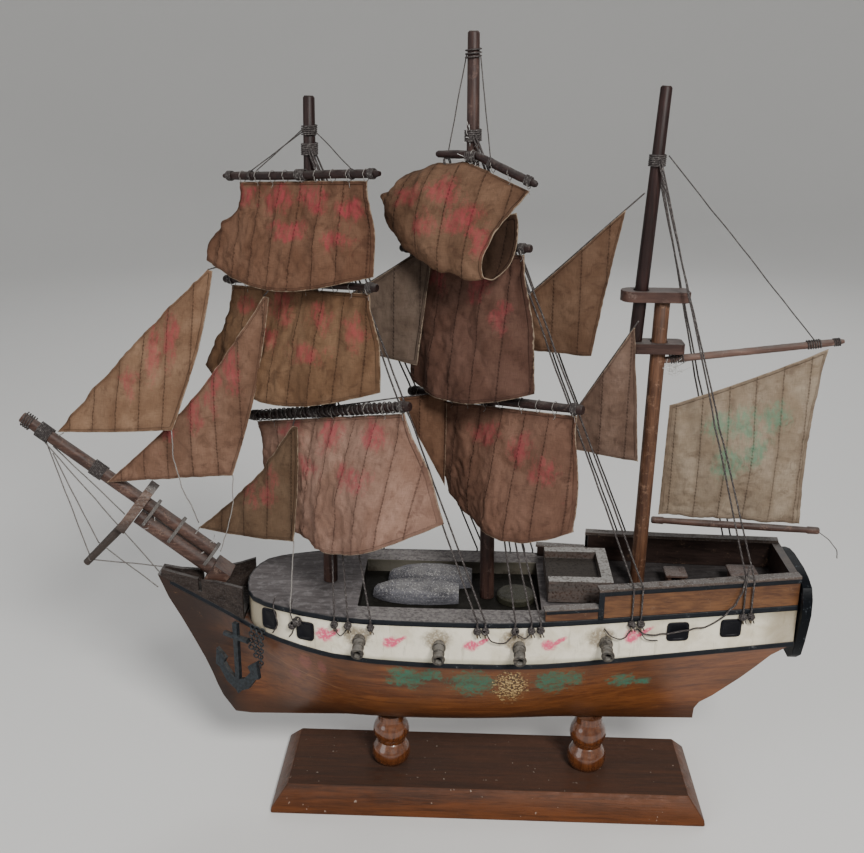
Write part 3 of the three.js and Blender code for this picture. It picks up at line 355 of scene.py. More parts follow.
def hull_varnish():
    material, net, shader = new_material("hull varnish", Coat_Weight=0.1, Coat_Roughness=0.25, Specular_IOR_Level=0.3)
    where = net.place()
    grain = net.group(GRAIN, Place=where, Fineness=0.9, Length=16.0)
    colour = net.mix(grain["Shade"], (0.088, 0.0243, 0.00638), (0.205, 0.0681, 0.0176))
    shade = net.fade(net.cloud(where, 26, 3, 0.55, 0.5), 0.38, 0.66)
    colour = net.mix(net.calc("MULTIPLY", shade, 0.55), colour, (0.07, 0.028, 0.011))
    x, y, z = net.split(where)
    low = net.fade(z, 0.056, 0.040)
    colour = net.mix(net.calc("MULTIPLY", low, 0.85), colour, (0.032, 0.011, 0.004))
    bow = net.fade(net.calc("ADD", x, net.calc("MULTIPLY", net.cloud(where, 60, 3), 0.02)), -0.098, -0.124)
    colour = net.mix(net.calc("MULTIPLY", bow, 0.92), colour, (0.014, 0.006, 0.004))
    green = None
    for mx, mz, hl, hh in (
        (-38, 77, 9, 8), (-28, 79, 7, 4), (-8, 75, 11, 10), (28, 75, 9, 9), (37, 76, 5, 6), (60, 72, 7, 5.5), (69, 71, 5, 3),
    ):
        dab = net.group(BLOT, Place=where, Middle_X=mx * MM, Middle_Z=mz * MM,
                        Half_Length=hl * MM, Half_Height=hh * MM, Ragged=0.8)["Mask"]
        green = dab if green is None else net.calc("MAXIMUM", green, dab)
    brushing = net.fade(net.cloud(where, 420, 4, 0.6), 0.3, 0.62, 0.35, 0.95)
    colour = net.mix(net.calc("MULTIPLY", green, brushing), colour, (0.035, 0.15, 0.095))
    gilt = net.group(BLOT, Place=where, Middle_X=9 * MM, Middle_Z=72 * MM,
                     Half_Length=8 * MM, Half_Height=11.5 * MM, Ragged=0.7)["Mask"]
    flake = net.add("ShaderNodeTexVoronoi", {"Vector": net.stretch(where, (1, 1, 1.5)), "Scale": 1500.0})
    lit = net.fade(net.split(flake.outputs["Color"])[0], 0.62, 0.7)
    glint = net.calc("MULTIPLY", gilt, lit)
    colour = net.mix(net.calc("MULTIPLY", gilt, 0.8), colour, (0.05, 0.028, 0.012))
    colour = net.mix(glint, colour, (0.85, 0.62, 0.28))
    net.put(shader["Metallic"], net.calc("MULTIPLY", glint, 0.75))
    pink = None
    for mx, mz, hl, hh in ((-84, 80, 3.5, 6), (-76, 79, 2.2, 5), (-90, 69, 3, 4), (-119, 97, 2, 5)):
        dab = net.group(BLOT, Place=where, Middle_X=mx * MM, Middle_Z=mz * MM,
                        Half_Length=hl * MM, Half_Height=hh * MM, Ragged=0.5)["Mask"]
        pink = dab if pink is None else net.calc("MAXIMUM", pink, dab)
    colour = net.mix(net.calc("MULTIPLY", pink, 0.22), colour, (0.40, 0.10, 0.10))
    scratch = net.calc("ABSOLUTE", net.calc("ADD", net.calc("SUBTRACT", z, 0.0795),
                                            net.calc("MULTIPLY", net.calc("ADD", x, 0.105), 0.42)))
    scratch = net.calc("MULTIPLY", net.fade(scratch, 0.0005, 0.0001),
                       net.calc("MULTIPLY", net.fade(x, -0.108, -0.1), net.fade(x, -0.062, -0.07)))
    colour = net.mix(net.calc("MULTIPLY", scratch, 0.3), colour, (0.33, 0.18, 0.09))
    scuffs = net.group(WORN, Place=where, Size=1.1, Amount=0.3)["Mask"]
    colour = net.mix(net.calc("MULTIPLY", scuffs, 0.45), colour, (0.28, 0.14, 0.06))
    grime = net.group(DUST, Place=where, Amount=0.8, Spread=1.6)["Mask"]
    colour = net.mix(grime, colour, DUST_GREY)
    net.put(shader["Base Color"], colour)
    net.put(shader["Roughness"], net.calc("ADD", 0.36, net.calc("MULTIPLY", net.calc("ADD", scuffs, green), 0.22)))
    height = net.calc("ADD", grain["Height"], net.calc("MULTIPLY", green, 0.35))
    net.put(shader["Normal"], net.bump(height, 0.0001, 0.6))
    return material


def deck_and_side():
    """White side with dirt and small pink dabs; grey, dusty, planked deck on top; the deck aft of the step and the well
    are painted near-black as shade.
    """
    material, net, shader = new_material("painted side and deck", Specular_IOR_Level=0.2)
    where = net.place()
    x, y, z = net.split(where)
    beam = net.calc("ABSOLUTE", y)
    top = net.fade(net.up(), 0.5, 0.7)
    # side
    soil = net.fade(net.cloud(where, 70, 4, 0.6, 0.7), 0.42, 0.72)
    side = net.mix(net.calc("MULTIPLY", soil, 0.55), (0.82, 0.76, 0.62), (0.50, 0.42, 0.28))
    streak = net.cloud(net.stretch(where, (1, 1, 0.18)), 420, 3, 0.6)
    side = net.mix(net.fade(streak, 0.56, 0.72, 0, 0.4), side, (0.33, 0.29, 0.21))
    rims = net.calc("MAXIMUM", net.fade(z, 0.1035, 0.1085), net.fade(z, 0.0905, 0.0885))
    side = net.mix(net.calc("MULTIPLY", rims, 0.5), side, (0.26, 0.25, 0.17))
    dirt = None
    for gx in (-59, -24, 10, 48):
        dab = net.group(BLOT, Place=where, Middle_X=gx * MM, Middle_Z=99.5 * MM,
                        Half_Length=7 * MM, Half_Height=5.5 * MM, Ragged=0.3)["Mask"]
        dirt = dab if dirt is None else net.calc("MAXIMUM", dirt, dab)
    side = net.mix(net.calc("MULTIPLY", dirt, 0.75), side, (0.17, 0.12, 0.065))
    side = net.mix(net.fade(x, -0.086, -0.106, 0, 0.75), side, (0.19, 0.15, 0.09))
    side = net.mix(net.fade(x, 0.117, 0.128, 0, 0.6), side, (0.17, 0.12, 0.06))
    pink = None
    for mx, mz, hl, hh, lean in (
        (-74, 98.5, 4.2, 4, 0), (-70.5, 99.6, 2.6, 3, 1.0), (-44.5, 97, 3.8, 3.2, 0), (-41, 98, 2.4, 2.8, 1.2),
        (-9, 96.5, 4, 3, 0), (-5, 98, 2.4, 3.2, 1.3), (25, 96.8, 3.6, 3.2, 0), (29, 98.2, 2.4, 2.8, 1.3),
        (61.5, 99.2, 3.8, 3.8, 0), (66, 100.8, 2.6, 3.4, 1.5),
    ):
        dab = net.group(BLOT, Place=where, Middle_X=mx * MM, Middle_Z=mz * MM, Slant=lean,
                        Half_Length=hl * MM, Half_Height=hh * MM, Ragged=0.35)["Mask"]
        pink = dab if pink is None else net.calc("MAXIMUM", pink, dab)
    side = net.mix(pink, side, (0.70, 0.10, 0.19))
    # deck
    plank = net.calc("FRACT", net.calc("MULTIPLY", net.calc("ADD", y, 1), 1 / 0.0052))
    seam = net.fade(net.calc("ABSOLUTE", net.calc("SUBTRACT", plank, 0.5)), 0.445, 0.49)
    grain = net.group(GRAIN, Place=where, Fineness=1.1, Length=10.0)
    deck = net.mix(grain["Shade"], (0.075, 0.066, 0.066), (0.15, 0.135, 0.135))
    deck = net.mix(net.calc("MULTIPLY", seam, 0.55), deck, (0.09, 0.085, 0.085))
    cloud = net.fade(net.cloud(where, 55, 4, 0.6, 0.4), 0.35, 0.65)
    deck = net.mix(net.calc("MULTIPLY", cloud, 0.5), deck, (0.08, 0.07, 0.07))
    bloom = net.fade(net.cloud(where, 260, 5, 0.7), 0.47, 0.66)
    deck = net.mix(net.calc("MULTIPLY", bloom, 0.42), deck, (0.25, 0.235, 0.236))
    # painted shade: aft of the step, within the high quarter bulwark, the deck turns near-black brown over its grain
    brown = net.calc("MULTIPLY", net.fade(x, 0.045, 0.056), 0.75)
    deck = net.mix(brown, deck, net.mix(grain["Shade"], (0.003, 0.002, 0.002), (0.010, 0.007, 0.006)))
    rail = net.fade(beam, 0.0235, 0.0245)
    rail = net.calc("MULTIPLY", rail, net.calc("MULTIPLY", net.fade(x, -0.0605, -0.0595), net.fade(x, 0.0235, 0.0225)))
    crust = net.fade(net.cloud(where, 700, 4, 0.7), 0.4, 0.6)
    deck = net.mix(net.calc("MULTIPLY", rail, net.calc("MULTIPLY", crust, 0.7)), deck, (0.24, 0.225, 0.212))
    # well: walls and floor painted near-black as shade, the floor with a little dust bloom
    sunk_shade = net.fade(z, 0.1065, 0.105)
    inside_shade = net.calc("MULTIPLY", net.fade(beam, 0.0246, 0.0238), net.fade(z, 0.1085, 0.1075))
    inside_shade = net.calc("MULTIPLY", inside_shade, net.calc("MULTIPLY", net.fade(x, -0.0612, -0.0604), net.fade(x, 0.0232, 0.0224)))
    wall = net.mix(grain["Shade"], (0.005, 0.004, 0.003), (0.014, 0.011, 0.009))
    floor = net.mix(net.calc("MULTIPLY", bloom, 0.35), (0.008, 0.007, 0.005), (0.028, 0.025, 0.021))
    deck = net.mix(sunk_shade, deck, floor)
    side = net.mix(inside_shade, side, wall)
    colour = net.mix(top, side, deck)
    net.put(shader["Base Color"], colour)
    rough = net.mix(top, (0.55, 0.55, 0.55), (0.88, 0.88, 0.88))
    net.put(shader["Roughness"], net.split(rough)[0])
    height = net.calc("ADD", net.calc("MULTIPLY", bloom, 0.6), net.calc("SUBTRACT", soil, net.calc("MULTIPLY", net.calc("MULTIPLY", seam, top), 1.6)))
    net.put(shader["Normal"], net.bump(height, 0.00016, 0.8))
    return material


def bulwark_finish():
    """Orange varnish outside; faces that turn inboard, and the tops, painted near-black brown as shade, with dust on
    top.
    """
    material, net, shader = new_material("bulwark varnish", Coat_Weight=0.08, Coat_Roughness=0.25, Specular_IOR_Level=0.3)
    where = net.place()
    grain = net.group(GRAIN, Place=where, Fineness=1.0, Length=14.0)
    outside = net.mix(grain["Shade"], (0.066, 0.026, 0.012), (0.155, 0.068, 0.027))
    # painted shade: near-black brown for faces that turn inboard and for the tops
    inside_shade = net.mix(grain["Shade"], (0.010, 0.006, 0.005), (0.028, 0.017, 0.014))
    y = net.split(where)[1]
    ny = net.split(net.add("ShaderNodeNewGeometry").outputs["Normal"])[1]
    outward = net.calc("MULTIPLY", net.calc("SIGN", y), ny)
    colour = net.mix(net.fade(outward, 0.2, 0.6), inside_shade, outside)
    scuffs = net.group(WORN, Place=where, Size=1.6, Amount=0.4)["Mask"]
    colour = net.mix(net.calc("MULTIPLY", scuffs, 0.5), colour, (0.2, 0.125, 0.08))
    film = net.group(DUST, Place=where, Amount=0.9, Spread=1.4)["Mask"]
    colour = net.mix(film, colour, (0.085, 0.072, 0.064))
    net.put(shader["Base Color"], colour)
    net.put(shader["Roughness"], net.calc("ADD", 0.42, net.calc("MULTIPLY", net.calc("ADD", scuffs, film), 0.3)))
    net.put(shader["Normal"], net.bump(grain["Height"], 0.0001, 0.7))
    return material


def hatch_finish():
    """Coaming crusted with pale dust; the floor of its recess is painted near-black as the shade of an opening."""
    material, net, shader = new_material("hatch coaming", Roughness=0.88, Specular_IOR_Level=0.2)
    where = net.place()
    x, y, z = net.split(where)
    grain = net.group(GRAIN, Place=where, Fineness=1.2, Length=8.0)
    wood = net.mix(grain["Shade"], (0.0176, 0.00696, 0.00405), (0.048, 0.0197, 0.0108))
    crust = net.fade(net.cloud(where, 900, 4, 0.6), 0.2, 0.56)
    side = net.fade(net.up(), -0.2, 0.7, 0.1, 1)
    colour = net.mix(net.calc("MULTIPLY", crust, side), wood, (0.30, 0.29, 0.275))
    # painted shade: the up-facing floor of the recess is darkened, with some dust
    sunk_shade = net.calc("MULTIPLY", net.fade(net.up(), 0.4, 0.8), net.fade(z, 0.1182, 0.1168))
    dark = net.mix(crust, (0.012, 0.010, 0.009), (0.045, 0.038, 0.033))
    colour = net.mix(sunk_shade, colour, dark)
    net.put(shader["Base Color"], colour)
    net.put(shader["Normal"], net.bump(net.calc("ADD", crust, grain["Height"]), 0.00025, 0.8))
    return material


def black_paint(name, base=(0.007, 0.008, 0.010), light=(0.16, 0.165, 0.17), wear=0.35, dust=0.4, rough=0.42):
    material, net, shader = new_material(name, Specular_IOR_Level=0.1)
    where = net.place()
    scuffs = net.group(WORN, Place=where, Size=1.8, Amount=wear)["Mask"]
    colour = net.mix(net.cloud(where, 160, 3, 0.5), base, tuple(c * 2.4 for c in base))
    colour = net.mix(net.calc("MULTIPLY", scuffs, 0.7), colour, light)
    film = net.group(DUST, Place=where, Amount=dust, Spread=1.4)["Mask"]
    colour = net.mix(film, colour, DUST_GREY)
    net.put(shader["Base Color"], colour)
    net.put(shader["Roughness"], net.calc("ADD", rough, net.calc("MULTIPLY", net.calc("ADD", film, scuffs), 0.35), clamp=True))
    net.put(shader["Normal"], net.bump(net.calc("ADD", scuffs, net.cloud(where, 900, 3)), 0.00008, 0.7))
    return material


def dusty_wood(name, dark, light, dust=0.85, speck=0.6, dark_below=None):
    """Bare or painted wood under a crust of grey dust."""
    material, net, shader = new_material(name, Specular_IOR_Level=0.2)
    where = net.place()
    grain = net.group(GRAIN, Place=where, Fineness=1.2, Length=8.0)
    colour = net.mix(grain["Shade"], dark, light)
    crust = net.group(DUST, Place=where, Amount=dust, Spread=1.8)["Mask"]
    colour = net.mix(crust, colour, (0.22, 0.213, 0.206))
    flecks = net.fade(net.cloud(where, 1300, 3, 0.65), 0.53, 0.62)
    flecks = net.calc("MULTIPLY", flecks, net.fade(net.up(), -0.1, 0.6, 0.25, 1))
    colour = net.mix(net.calc("MULTIPLY", flecks, speck), colour, (0.46, 0.45, 0.44))
    if dark_below:
        tarred = net.fade(net.split(where)[2], dark_below + 0.004, dark_below - 0.004)
        colour = net.mix(net.calc("MULTIPLY", tarred, 0.85), colour, (0.035, 0.028, 0.025))
    net.put(shader["Base Color"], colour)
    net.put(shader["Roughness"], net.calc("ADD", 0.7, net.calc("MULTIPLY", crust, 0.25), clamp=True))
    net.put(shader["Normal"], net.bump(net.calc("ADD", flecks, grain["Height"]), 0.00018, 0.8))
    return material


def post_varnish():
    material, net, shader = new_material("post varnish", Coat_Weight=0.8, Coat_Roughness=0.07)
    where = net.place()
    x, y, z = net.split(where)
    turned = net.add("ShaderNodeCombineXYZ", {0: z, 1: y, 2: x}).outputs[0]
    grain = net.group(GRAIN, Place=turned, Fineness=0.8, Length=9.0)
    colour = net.mix(grain["Shade"], (0.0612, 0.016, 0.00487), (0.149, 0.048, 0.0149))
    ring = net.fade(net.calc("SINE", net.calc("MULTIPLY", z, 2600)), 0.2, 1, 0, 0.25)
    colour = net.mix(ring, colour, (0.07, 0.024, 0.010))
    film = net.group(DUST, Place=where, Amount=0.5, Spread=1.0)["Mask"]
    colour = net.mix(film, colour, (0.22, 0.16, 0.125))
    net.put(shader["Base Color"], colour)
    net.put(shader["Roughness"], net.calc("ADD", 0.22, net.calc("MULTIPLY", film, 0.4)))
    net.put(shader["Normal"], net.bump(grain["Height"], 0.00004, 0.5))
    return material


def board_stain():
    material, net, shader = new_material("board stain", Specular_IOR_Level=0.2)
    where = net.place()
    grain = net.group(GRAIN, Place=where, Fineness=0.55, Length=12.0)
    fine = net.group(GRAIN, Place=where, Fineness=1.6, Length=22.0)
    colour = net.mix(grain["Shade"], (0.036, 0.013, 0.0055), (0.118, 0.037, 0.0115))
    colour = net.mix(net.calc("MULTIPLY", fine["Shade"], 0.45), colour, (0.145, 0.0466, 0.0144))
    pores = net.fade(fine["Height"], 0.62, 0.7)
    colour = net.mix(net.calc("MULTIPLY", pores, 0.6), colour, (0.045, 0.016, 0.009))
    film = net.group(DUST, Place=where, Amount=0.62, Spread=1.5)["Mask"]
    # painted shade: faces that point up are darkened and greyed; the same mask, as a dusty film, also roughens them
    haze_and_top_shade = net.fade(net.up(), 0.8, 0.99, 0, 0.62)
    colour = net.mix(haze_and_top_shade, colour, (0.026, 0.016, 0.0125))
    colour = net.mix(net.calc("MULTIPLY", film, 0.4), colour, (0.06, 0.044, 0.036))
    speck = net.fade(net.cloud(where, 420, 2, 0.4), 0.735, 0.76)
    colour = net.mix(net.calc("MULTIPLY", speck, 0.4), colour, (0.5, 0.42, 0.35))
    net.put(shader["Base Color"], colour)
    net.put(shader["Roughness"], net.calc("ADD", 0.4, net.calc("MULTIPLY", net.calc("ADD", film, haze_and_top_shade), 0.45), clamp=True))
    net.put(shader["Normal"], net.bump(net.calc("SUBTRACT", fine["Height"], pores), 0.00013, 0.7))
    return material


def dull_metal(name, base, bright, metallic=0.7, rough=0.5, dust=0.5):
    material, net, shader = new_material(name)
    where = net.place()
    cast = net.cloud(where, 800, 4, 0.6)
    colour = net.mix(net.fade(cast, 0.35, 0.65), base, bright)
    film = net.group(DUST, Place=where, Amount=dust, Spread=1.6)["Mask"]
    colour = net.mix(film, colour, (0.26, 0.245, 0.22))
    net.put(shader["Base Color"], colour)
    net.put(shader["Metallic"], net.calc("MULTIPLY", net.calc("SUBTRACT", 1, film), metallic))
    net.put(shader["Roughness"], net.calc("ADD", rough, net.calc("MULTIPLY", cast, 0.25), clamp=True))
    net.put(shader["Normal"], net.bump(cast, 0.00015, 0.8))
    return material


def thread_stuff(name, dark, light, fluff=0.3):
    material, net, shader = new_material(name, Roughness=0.85, Specular_IOR_Level=0.2)
    layout = net.uv()
    lay = net.group(LAY, Layout=layout, Strands=3.0)["Height"]
    lint = net.fade(net.cloud(net.place(), 1100, 4, 0.7), 0.5, 0.7)
    # painted light and shade: the strands are lighter on their crests and darker in the grooves between them
    colour = net.mix(lay, dark, light)
    colour = net.mix(net.calc("MULTIPLY", lint, fluff), colour, (0.42, 0.40, 0.38))
    net.put(shader["Base Color"], colour)
    net.put(shader["Normal"], net.bump(lay, 0.00012, 0.8))
    return material


def sail_cotton(name, pale, tan, brown, paint, strength=0.75, dirt=0.55):
    """Soiled cotton: strips sewn side by side, stitched hems, faded paint where it was dabbed; the inner turn of a
    rolled foot is painted dark as shade.
    """
    material, net, shader = new_material(name, Roughness=0.93, Specular_IOR_Level=0.15)
    layout = net.uv()
    where = net.place()
    weave = net.group(WEAVE, Layout=layout, Pitch=0.00055)
    u, v, _ = net.split(layout)
    strip = net.calc("DIVIDE", u, 0.0112)
    to_seam = net.calc("MULTIPLY", net.calc("ABSOLUTE", net.calc("SUBTRACT", net.calc("FRACT", strip), 0.5)), 2)
    seam = net.fade(to_seam, 0.925, 0.985)
    stitch = net.fade(net.calc("SINE", net.calc("MULTIPLY", v, 2 * math.pi / 0.0016)), -0.2, 0.5)
    edge = net.add("ShaderNodeAttribute", attribute_name="edge").outputs["Fac"]
    dabs = net.add("ShaderNodeAttribute", attribute_name="paint").outputs["Fac"]
    roll_shade = net.add("ShaderNodeAttribute", attribute_name="roll_shade").outputs["Fac"]
    hem = net.fade(edge, 1.7, 1.3)
    rim = net.fade(net.calc("ADD", edge, net.calc("MULTIPLY", net.cloud(where, 500, 3), 1.1)), 1.0, 0.6)
    base = net.mix(net.fade(net.cloud(where, 60, 4, 0.6, 0.6), 0.34, 0.66), tan, pale)
    strips = net.add("ShaderNodeTexWhiteNoise", {"W": net.calc("FLOOR", strip)}, noise_dimensions="1D").outputs[0]
    base = net.mix(net.calc("MULTIPLY", strips, 0.28), base, brown)
    blotch = net.fade(net.cloud(where, 150, 5, 0.68, 0.9), 0.5, 0.7)
    base = net.mix(net.calc("MULTIPLY", blotch, dirt), base, brown)
    base = net.mix(net.fade(weave["Tone"], 0.35, 0.62, 0.28, 0), base, tuple(c * 0.55 for c in brown))
    soak = net.calc("MULTIPLY", seam, net.fade(net.cloud(where, 330, 3, 0.6), 0.3, 0.6, 0.4, 1))
    base = net.mix(net.calc("MULTIPLY", soak, 0.55), base, tuple(c * 0.45 for c in brown))
    flank = net.fade(to_seam, 0.6, 0.9)
    base = net.mix(net.calc("MULTIPLY", flank, 0.2), base, brown)
    ragged = net.fade(net.calc("ADD", dabs, net.calc("MULTIPLY", net.calc(
        "SUBTRACT", net.cloud(net.stretch(where, (1, 1, 0.6)), 520, 5, 0.75, 0.5), 0.5), 2.2)), 0.2, 1.2)
    base = net.mix(net.calc("MULTIPLY", ragged, strength), base, paint)
    base = net.mix(net.calc("MULTIPLY", hem, 0.22), base, tuple(c * 0.6 for c in brown))
    # painted shade: where the foot rolls up behind, the cloth is darkened
    base = net.mix(net.calc("MULTIPLY", roll_shade, 0.85), base, tuple(c * 0.3 for c in brown))
    base = net.mix(net.calc("MULTIPLY", rim, 0.6), base, (0.50, 0.40, 0.29))
    foot_soil = net.fade(net.calc("ADD", edge, net.calc("MULTIPLY", net.cloud(where, 130, 3), 8)), 9, 4)
    base = net.mix(net.calc("MULTIPLY", foot_soil, 0.35), base, brown)
    net.put(shader["Base Color"], base)
    fold = net.calc("SUBTRACT", net.calc("MULTIPLY", hem, 2.2), net.calc("MULTIPLY", net.calc("MULTIPLY", seam, stitch), 1.4))
    height = net.calc("ADD", fold, net.calc("MULTIPLY", weave["Height"], 0.14))
    crease = net.cloud(net.stretch(where, (1, 1, 0.6)), 240, 4, 0.55, 0.6)
    height = net.calc("ADD", height, net.calc("MULTIPLY", crease, 2.6))
    net.put(shader["Normal"], net.bump(height, 0.0003, 0.9))
    return material


BOARD = board_stain()
POST = post_varnish()
HULL = hull_varnish()
SIDE = deck_and_side()
BULWARK = bulwark_finish()
TRIM = black_paint("black trim")
PORT_BLACK = black_paint("port lid black", (0.004, 0.004, 0.0055), wear=0.12, dust=0.2, rough=0.35)
TRANSOM = black_paint("transom paint", (0.001, 0.0015, 0.0025), (0.13, 0.15, 0.17), wear=0.42, dust=0.0)
DARK_SPAR = stained_wood("dark spar stain", (0.0098, 0.003, 0.00275), (0.0294, 0.0105, 0.0088), rough=0.5, fineness=1.3,
                         along="Z", dust=0.2, wear=0.3, worn=(0.07, 0.042, 0.035))
TAN_SPAR = stained_wood("bleached spar stain", (0.055, 0.023, 0.013), (0.16, 0.074, 0.038), rough=0.5, fineness=1.3,
                        along="Z", dust=0.5, wear=0.55, worn=(0.24, 0.14, 0.09))
BOOM = stained_wood("boom stain", (0.036, 0.017, 0.013), (0.10, 0.052, 0.038), rough=0.5, fineness=1.3,
                    dust=0.4, wear=0.5, worn=(0.2, 0.13, 0.10))
SPAR = stained_wood("spar stain", (0.030, 0.014, 0.012), (0.085, 0.044, 0.034), rough=0.5, fineness=1.3,
                    along="Z", dust=0.5, wear=0.5, worn=(0.14, 0.092, 0.078))
YARD = stained_wood("yard stain", (0.0091, 0.00347, 0.00319), (0.0285, 0.0112, 0.0093), rough=0.55, fineness=1.3,
                    dust=0.4, wear=0.45, worn=(0.11, 0.078, 0.066))
BLEACHED = stained_wood("bleached gaff", (0.08, 0.042, 0.032), (0.19, 0.115, 0.09), rough=0.6, dust=0.6,
                        wear=0.4, worn=(0.36, 0.26, 0.22))
PLANK = stained_wood("plank stain", (0.035, 0.016, 0.0125), (0.086, 0.044, 0.034), rough=0.6, dust=0.6, wear=0.45, worn=(0.17, 0.12, 0.10))
HEADWORK = dusty_wood("dusty head rails", (0.014, 0.009, 0.0075), (0.045, 0.033, 0.028), dust=0.3, speck=0.15)
CAPWOOD = dusty_wood("dusty cap", (0.04, 0.028, 0.023), (0.105, 0.08, 0.068), dust=0.5, speck=0.35)
CAP_PLANK = dusty_wood("cap plank", (0.07, 0.042, 0.032), (0.19, 0.135, 0.11), dust=0.7, speck=0.5, dark_below=0.137)
BOATS = dusty_wood("dusty boats", (0.05, 0.049, 0.058), (0.13, 0.128, 0.145), dust=0.5, speck=0.6)
HATCH = hatch_finish()
OLIVE = dusty_wood("olive hatch", (0.0168, 0.0163, 0.00988), (0.0357, 0.0334, 0.0198), dust=0.1, speck=0.05)
BENCH = dusty_wood("bench wood", (0.035, 0.018, 0.014), (0.085, 0.048, 0.036), dust=0.3, speck=0.15)
GUN = dull_metal("gun metal", (0.018, 0.015, 0.013), (0.10, 0.088, 0.072), metallic=0.25, rough=0.5, dust=0.6)
IRON = dull_metal("black iron", (0.008, 0.010, 0.013), (0.028, 0.036, 0.043), metallic=0.4, rough=0.42, dust=0.2)
BRASS = dull_metal("dull eyes", (0.07, 0.055, 0.04), (0.22, 0.17, 0.11), metallic=0.7, rough=0.45, dust=0.4)
NAIL = dull_metal("bright nail", (0.5, 0.48, 0.44), (0.8, 0.78, 0.72), metallic=0.9, rough=0.25, dust=0.2)
BLACK_THREAD = thread_stuff("black thread", (0.012, 0.010, 0.010), (0.075, 0.064, 0.062), 0.35)
HEAD_THREAD = thread_stuff("dusty thread", (0.05, 0.045, 0.042), (0.19, 0.175, 0.165), 0.4)
GREY_THREAD = thread_stuff("grey thread", (0.10, 0.09, 0.085), (0.30, 0.28, 0.26), 0.5)
WEB = thread_stuff("pale fibres", (0.42, 0.41, 0.39), (0.68, 0.67, 0.65), 0.6)
TAN, BROWN, GREY, PALE = (
    ((0.36, 0.232, 0.140), (0.250, 0.150, 0.086), (0.110, 0.060, 0.036)),
    ((0.30, 0.180, 0.120), (0.205, 0.116, 0.074), (0.090, 0.048, 0.032)),
    ((0.135, 0.105, 0.082), (0.098, 0.072, 0.055), (0.048, 0.035, 0.028)),
    ((0.40, 0.29, 0.19), (0.285, 0.195, 0.12), (0.135, 0.083, 0.052)),
)
RED_PAINT, GREEN_PAINT = (0.36, 0.03, 0.06), (0.09, 0.235, 0.15)


def sail_stuff(name, cottons, depth, paint=RED_PAINT, strength=0.75):
    """One sail's cotton, each tone scaled by its own depth: painted light and shade for how that sail hangs, over its
    own soiling.
    """
    return sail_cotton(name, *[tuple(c * d for c, d in zip(tone, depth)) for tone in cottons], paint, strength)


# the depth triples paint light and shade on each sail's cotton, over its own soiling
COTTON = {
    "flying_jib": sail_stuff("flying jib cotton", TAN, (0.765, 0.733, 0.76), strength=0.42),
    "inner_jib": sail_stuff("inner jib cotton", BROWN, (0.791, 0.763, 0.776), strength=0.42),
    "fore_staysail": sail_stuff("fore staysail cotton", BROWN, (0.451, 0.475, 0.442), strength=0.3),
    "fore_topgallant": sail_stuff("fore topgallant cotton", TAN, (0.499, 0.414, 0.43), strength=0.5),
    "fore_topsail": sail_stuff("fore topsail cotton", TAN, (0.533, 0.484, 0.46), strength=0.42),
    "fore_course": sail_stuff("fore course cotton", TAN, (0.874, 0.833, 1.045), strength=0.5),
    "main_topgallant": sail_stuff("main topgallant cotton", BROWN, (0.55, 0.53, 0.5), strength=0.42),
    "main_topsail": sail_stuff("main topsail cotton", BROWN, (0.435, 0.387, 0.43), strength=0.28),
    "main_course": sail_stuff("main course cotton", BROWN, (0.648, 0.589, 0.62), strength=0.38),
    "main_staysail": sail_stuff("main staysail cotton", BROWN, (0.5, 0.45, 0.42), strength=0),
    "main_topmast_staysail": sail_stuff("grey cotton", GREY, (0.935, 0.874, 0.854), strength=0),
    "mizzen_topmast_staysail": sail_stuff("mizzen topmast staysail cotton", TAN, (0.457, 0.423, 0.447), strength=0),
    "mizzen_staysail": sail_stuff("mizzen staysail cotton", BROWN, (0.626, 0.684, 0.778), strength=0),
    "spanker": sail_stuff("spanker cotton", PALE, (0.836, 0.931, 1.06), GREEN_PAINT, 0.62),
}


# ---------------------------------------------------------------- carried-over parts
def even_shading(angle):
    """Smooth shading, with edges kept where the faces turn by more than the angle."""
    tree = bpy.data.node_groups.new("even shading %d" % angle, "GeometryNodeTree")
    tree.interface.new_socket(name="Geometry", in_out="INPUT", socket_type="NodeSocketGeometry")
    tree.interface.new_socket(name="Geometry", in_out="OUTPUT", socket_type="NodeSocketGeometry")
    given = tree.nodes.new("NodeGroupInput")
    out = tree.nodes.new("NodeGroupOutput")
    weld = tree.nodes.new("GeometryNodeMergeByDistance")
    weld.inputs["Distance"].default_value = 0.00001
    faces = tree.nodes.new("GeometryNodeSetShadeSmooth")
    faces.domain = "FACE"
    edges = tree.nodes.new("GeometryNodeSetShadeSmooth")
    edges.domain = "EDGE"
    edges.inputs["Shade Smooth"].default_value = False
    turn = tree.nodes.new("GeometryNodeInputMeshEdgeAngle")
    over = tree.nodes.new("FunctionNodeCompare")
    over.inputs[1].default_value = math.radians(angle)
    join = tree.links.new
    join(given.outputs[0], weld.inputs[0])
    join(weld.outputs[0], faces.inputs[0])
    join(faces.outputs[0], edges.inputs[0])
    join(turn.outputs[0], over.inputs[0])
    join(over.outputs[0], edges.inputs["Selection"])
    join(edges.outputs[0], out.inputs[0])
    return tree


EVEN = even_shading(38)


def soften(obj, bevel=0.0, tree=None):
    obj.modifiers.new("even shading", "NODES").node_group = tree or EVEN
    if bevel:
        edge = obj.modifiers.new("eased edges", "BEVEL")
        edge.width = bevel * MM
        edge.segments = 2
        edge.limit_method = "ANGLE"
        edge.angle_limit = math.radians(40)
        edge.harden_normals = True


def finish_with(material, *names, bevel=0.0):
    for name in names:
        obj = nodes[name]
        obj.data.materials.clear()
        obj.data.materials.append(material)
        soften(obj, bevel)


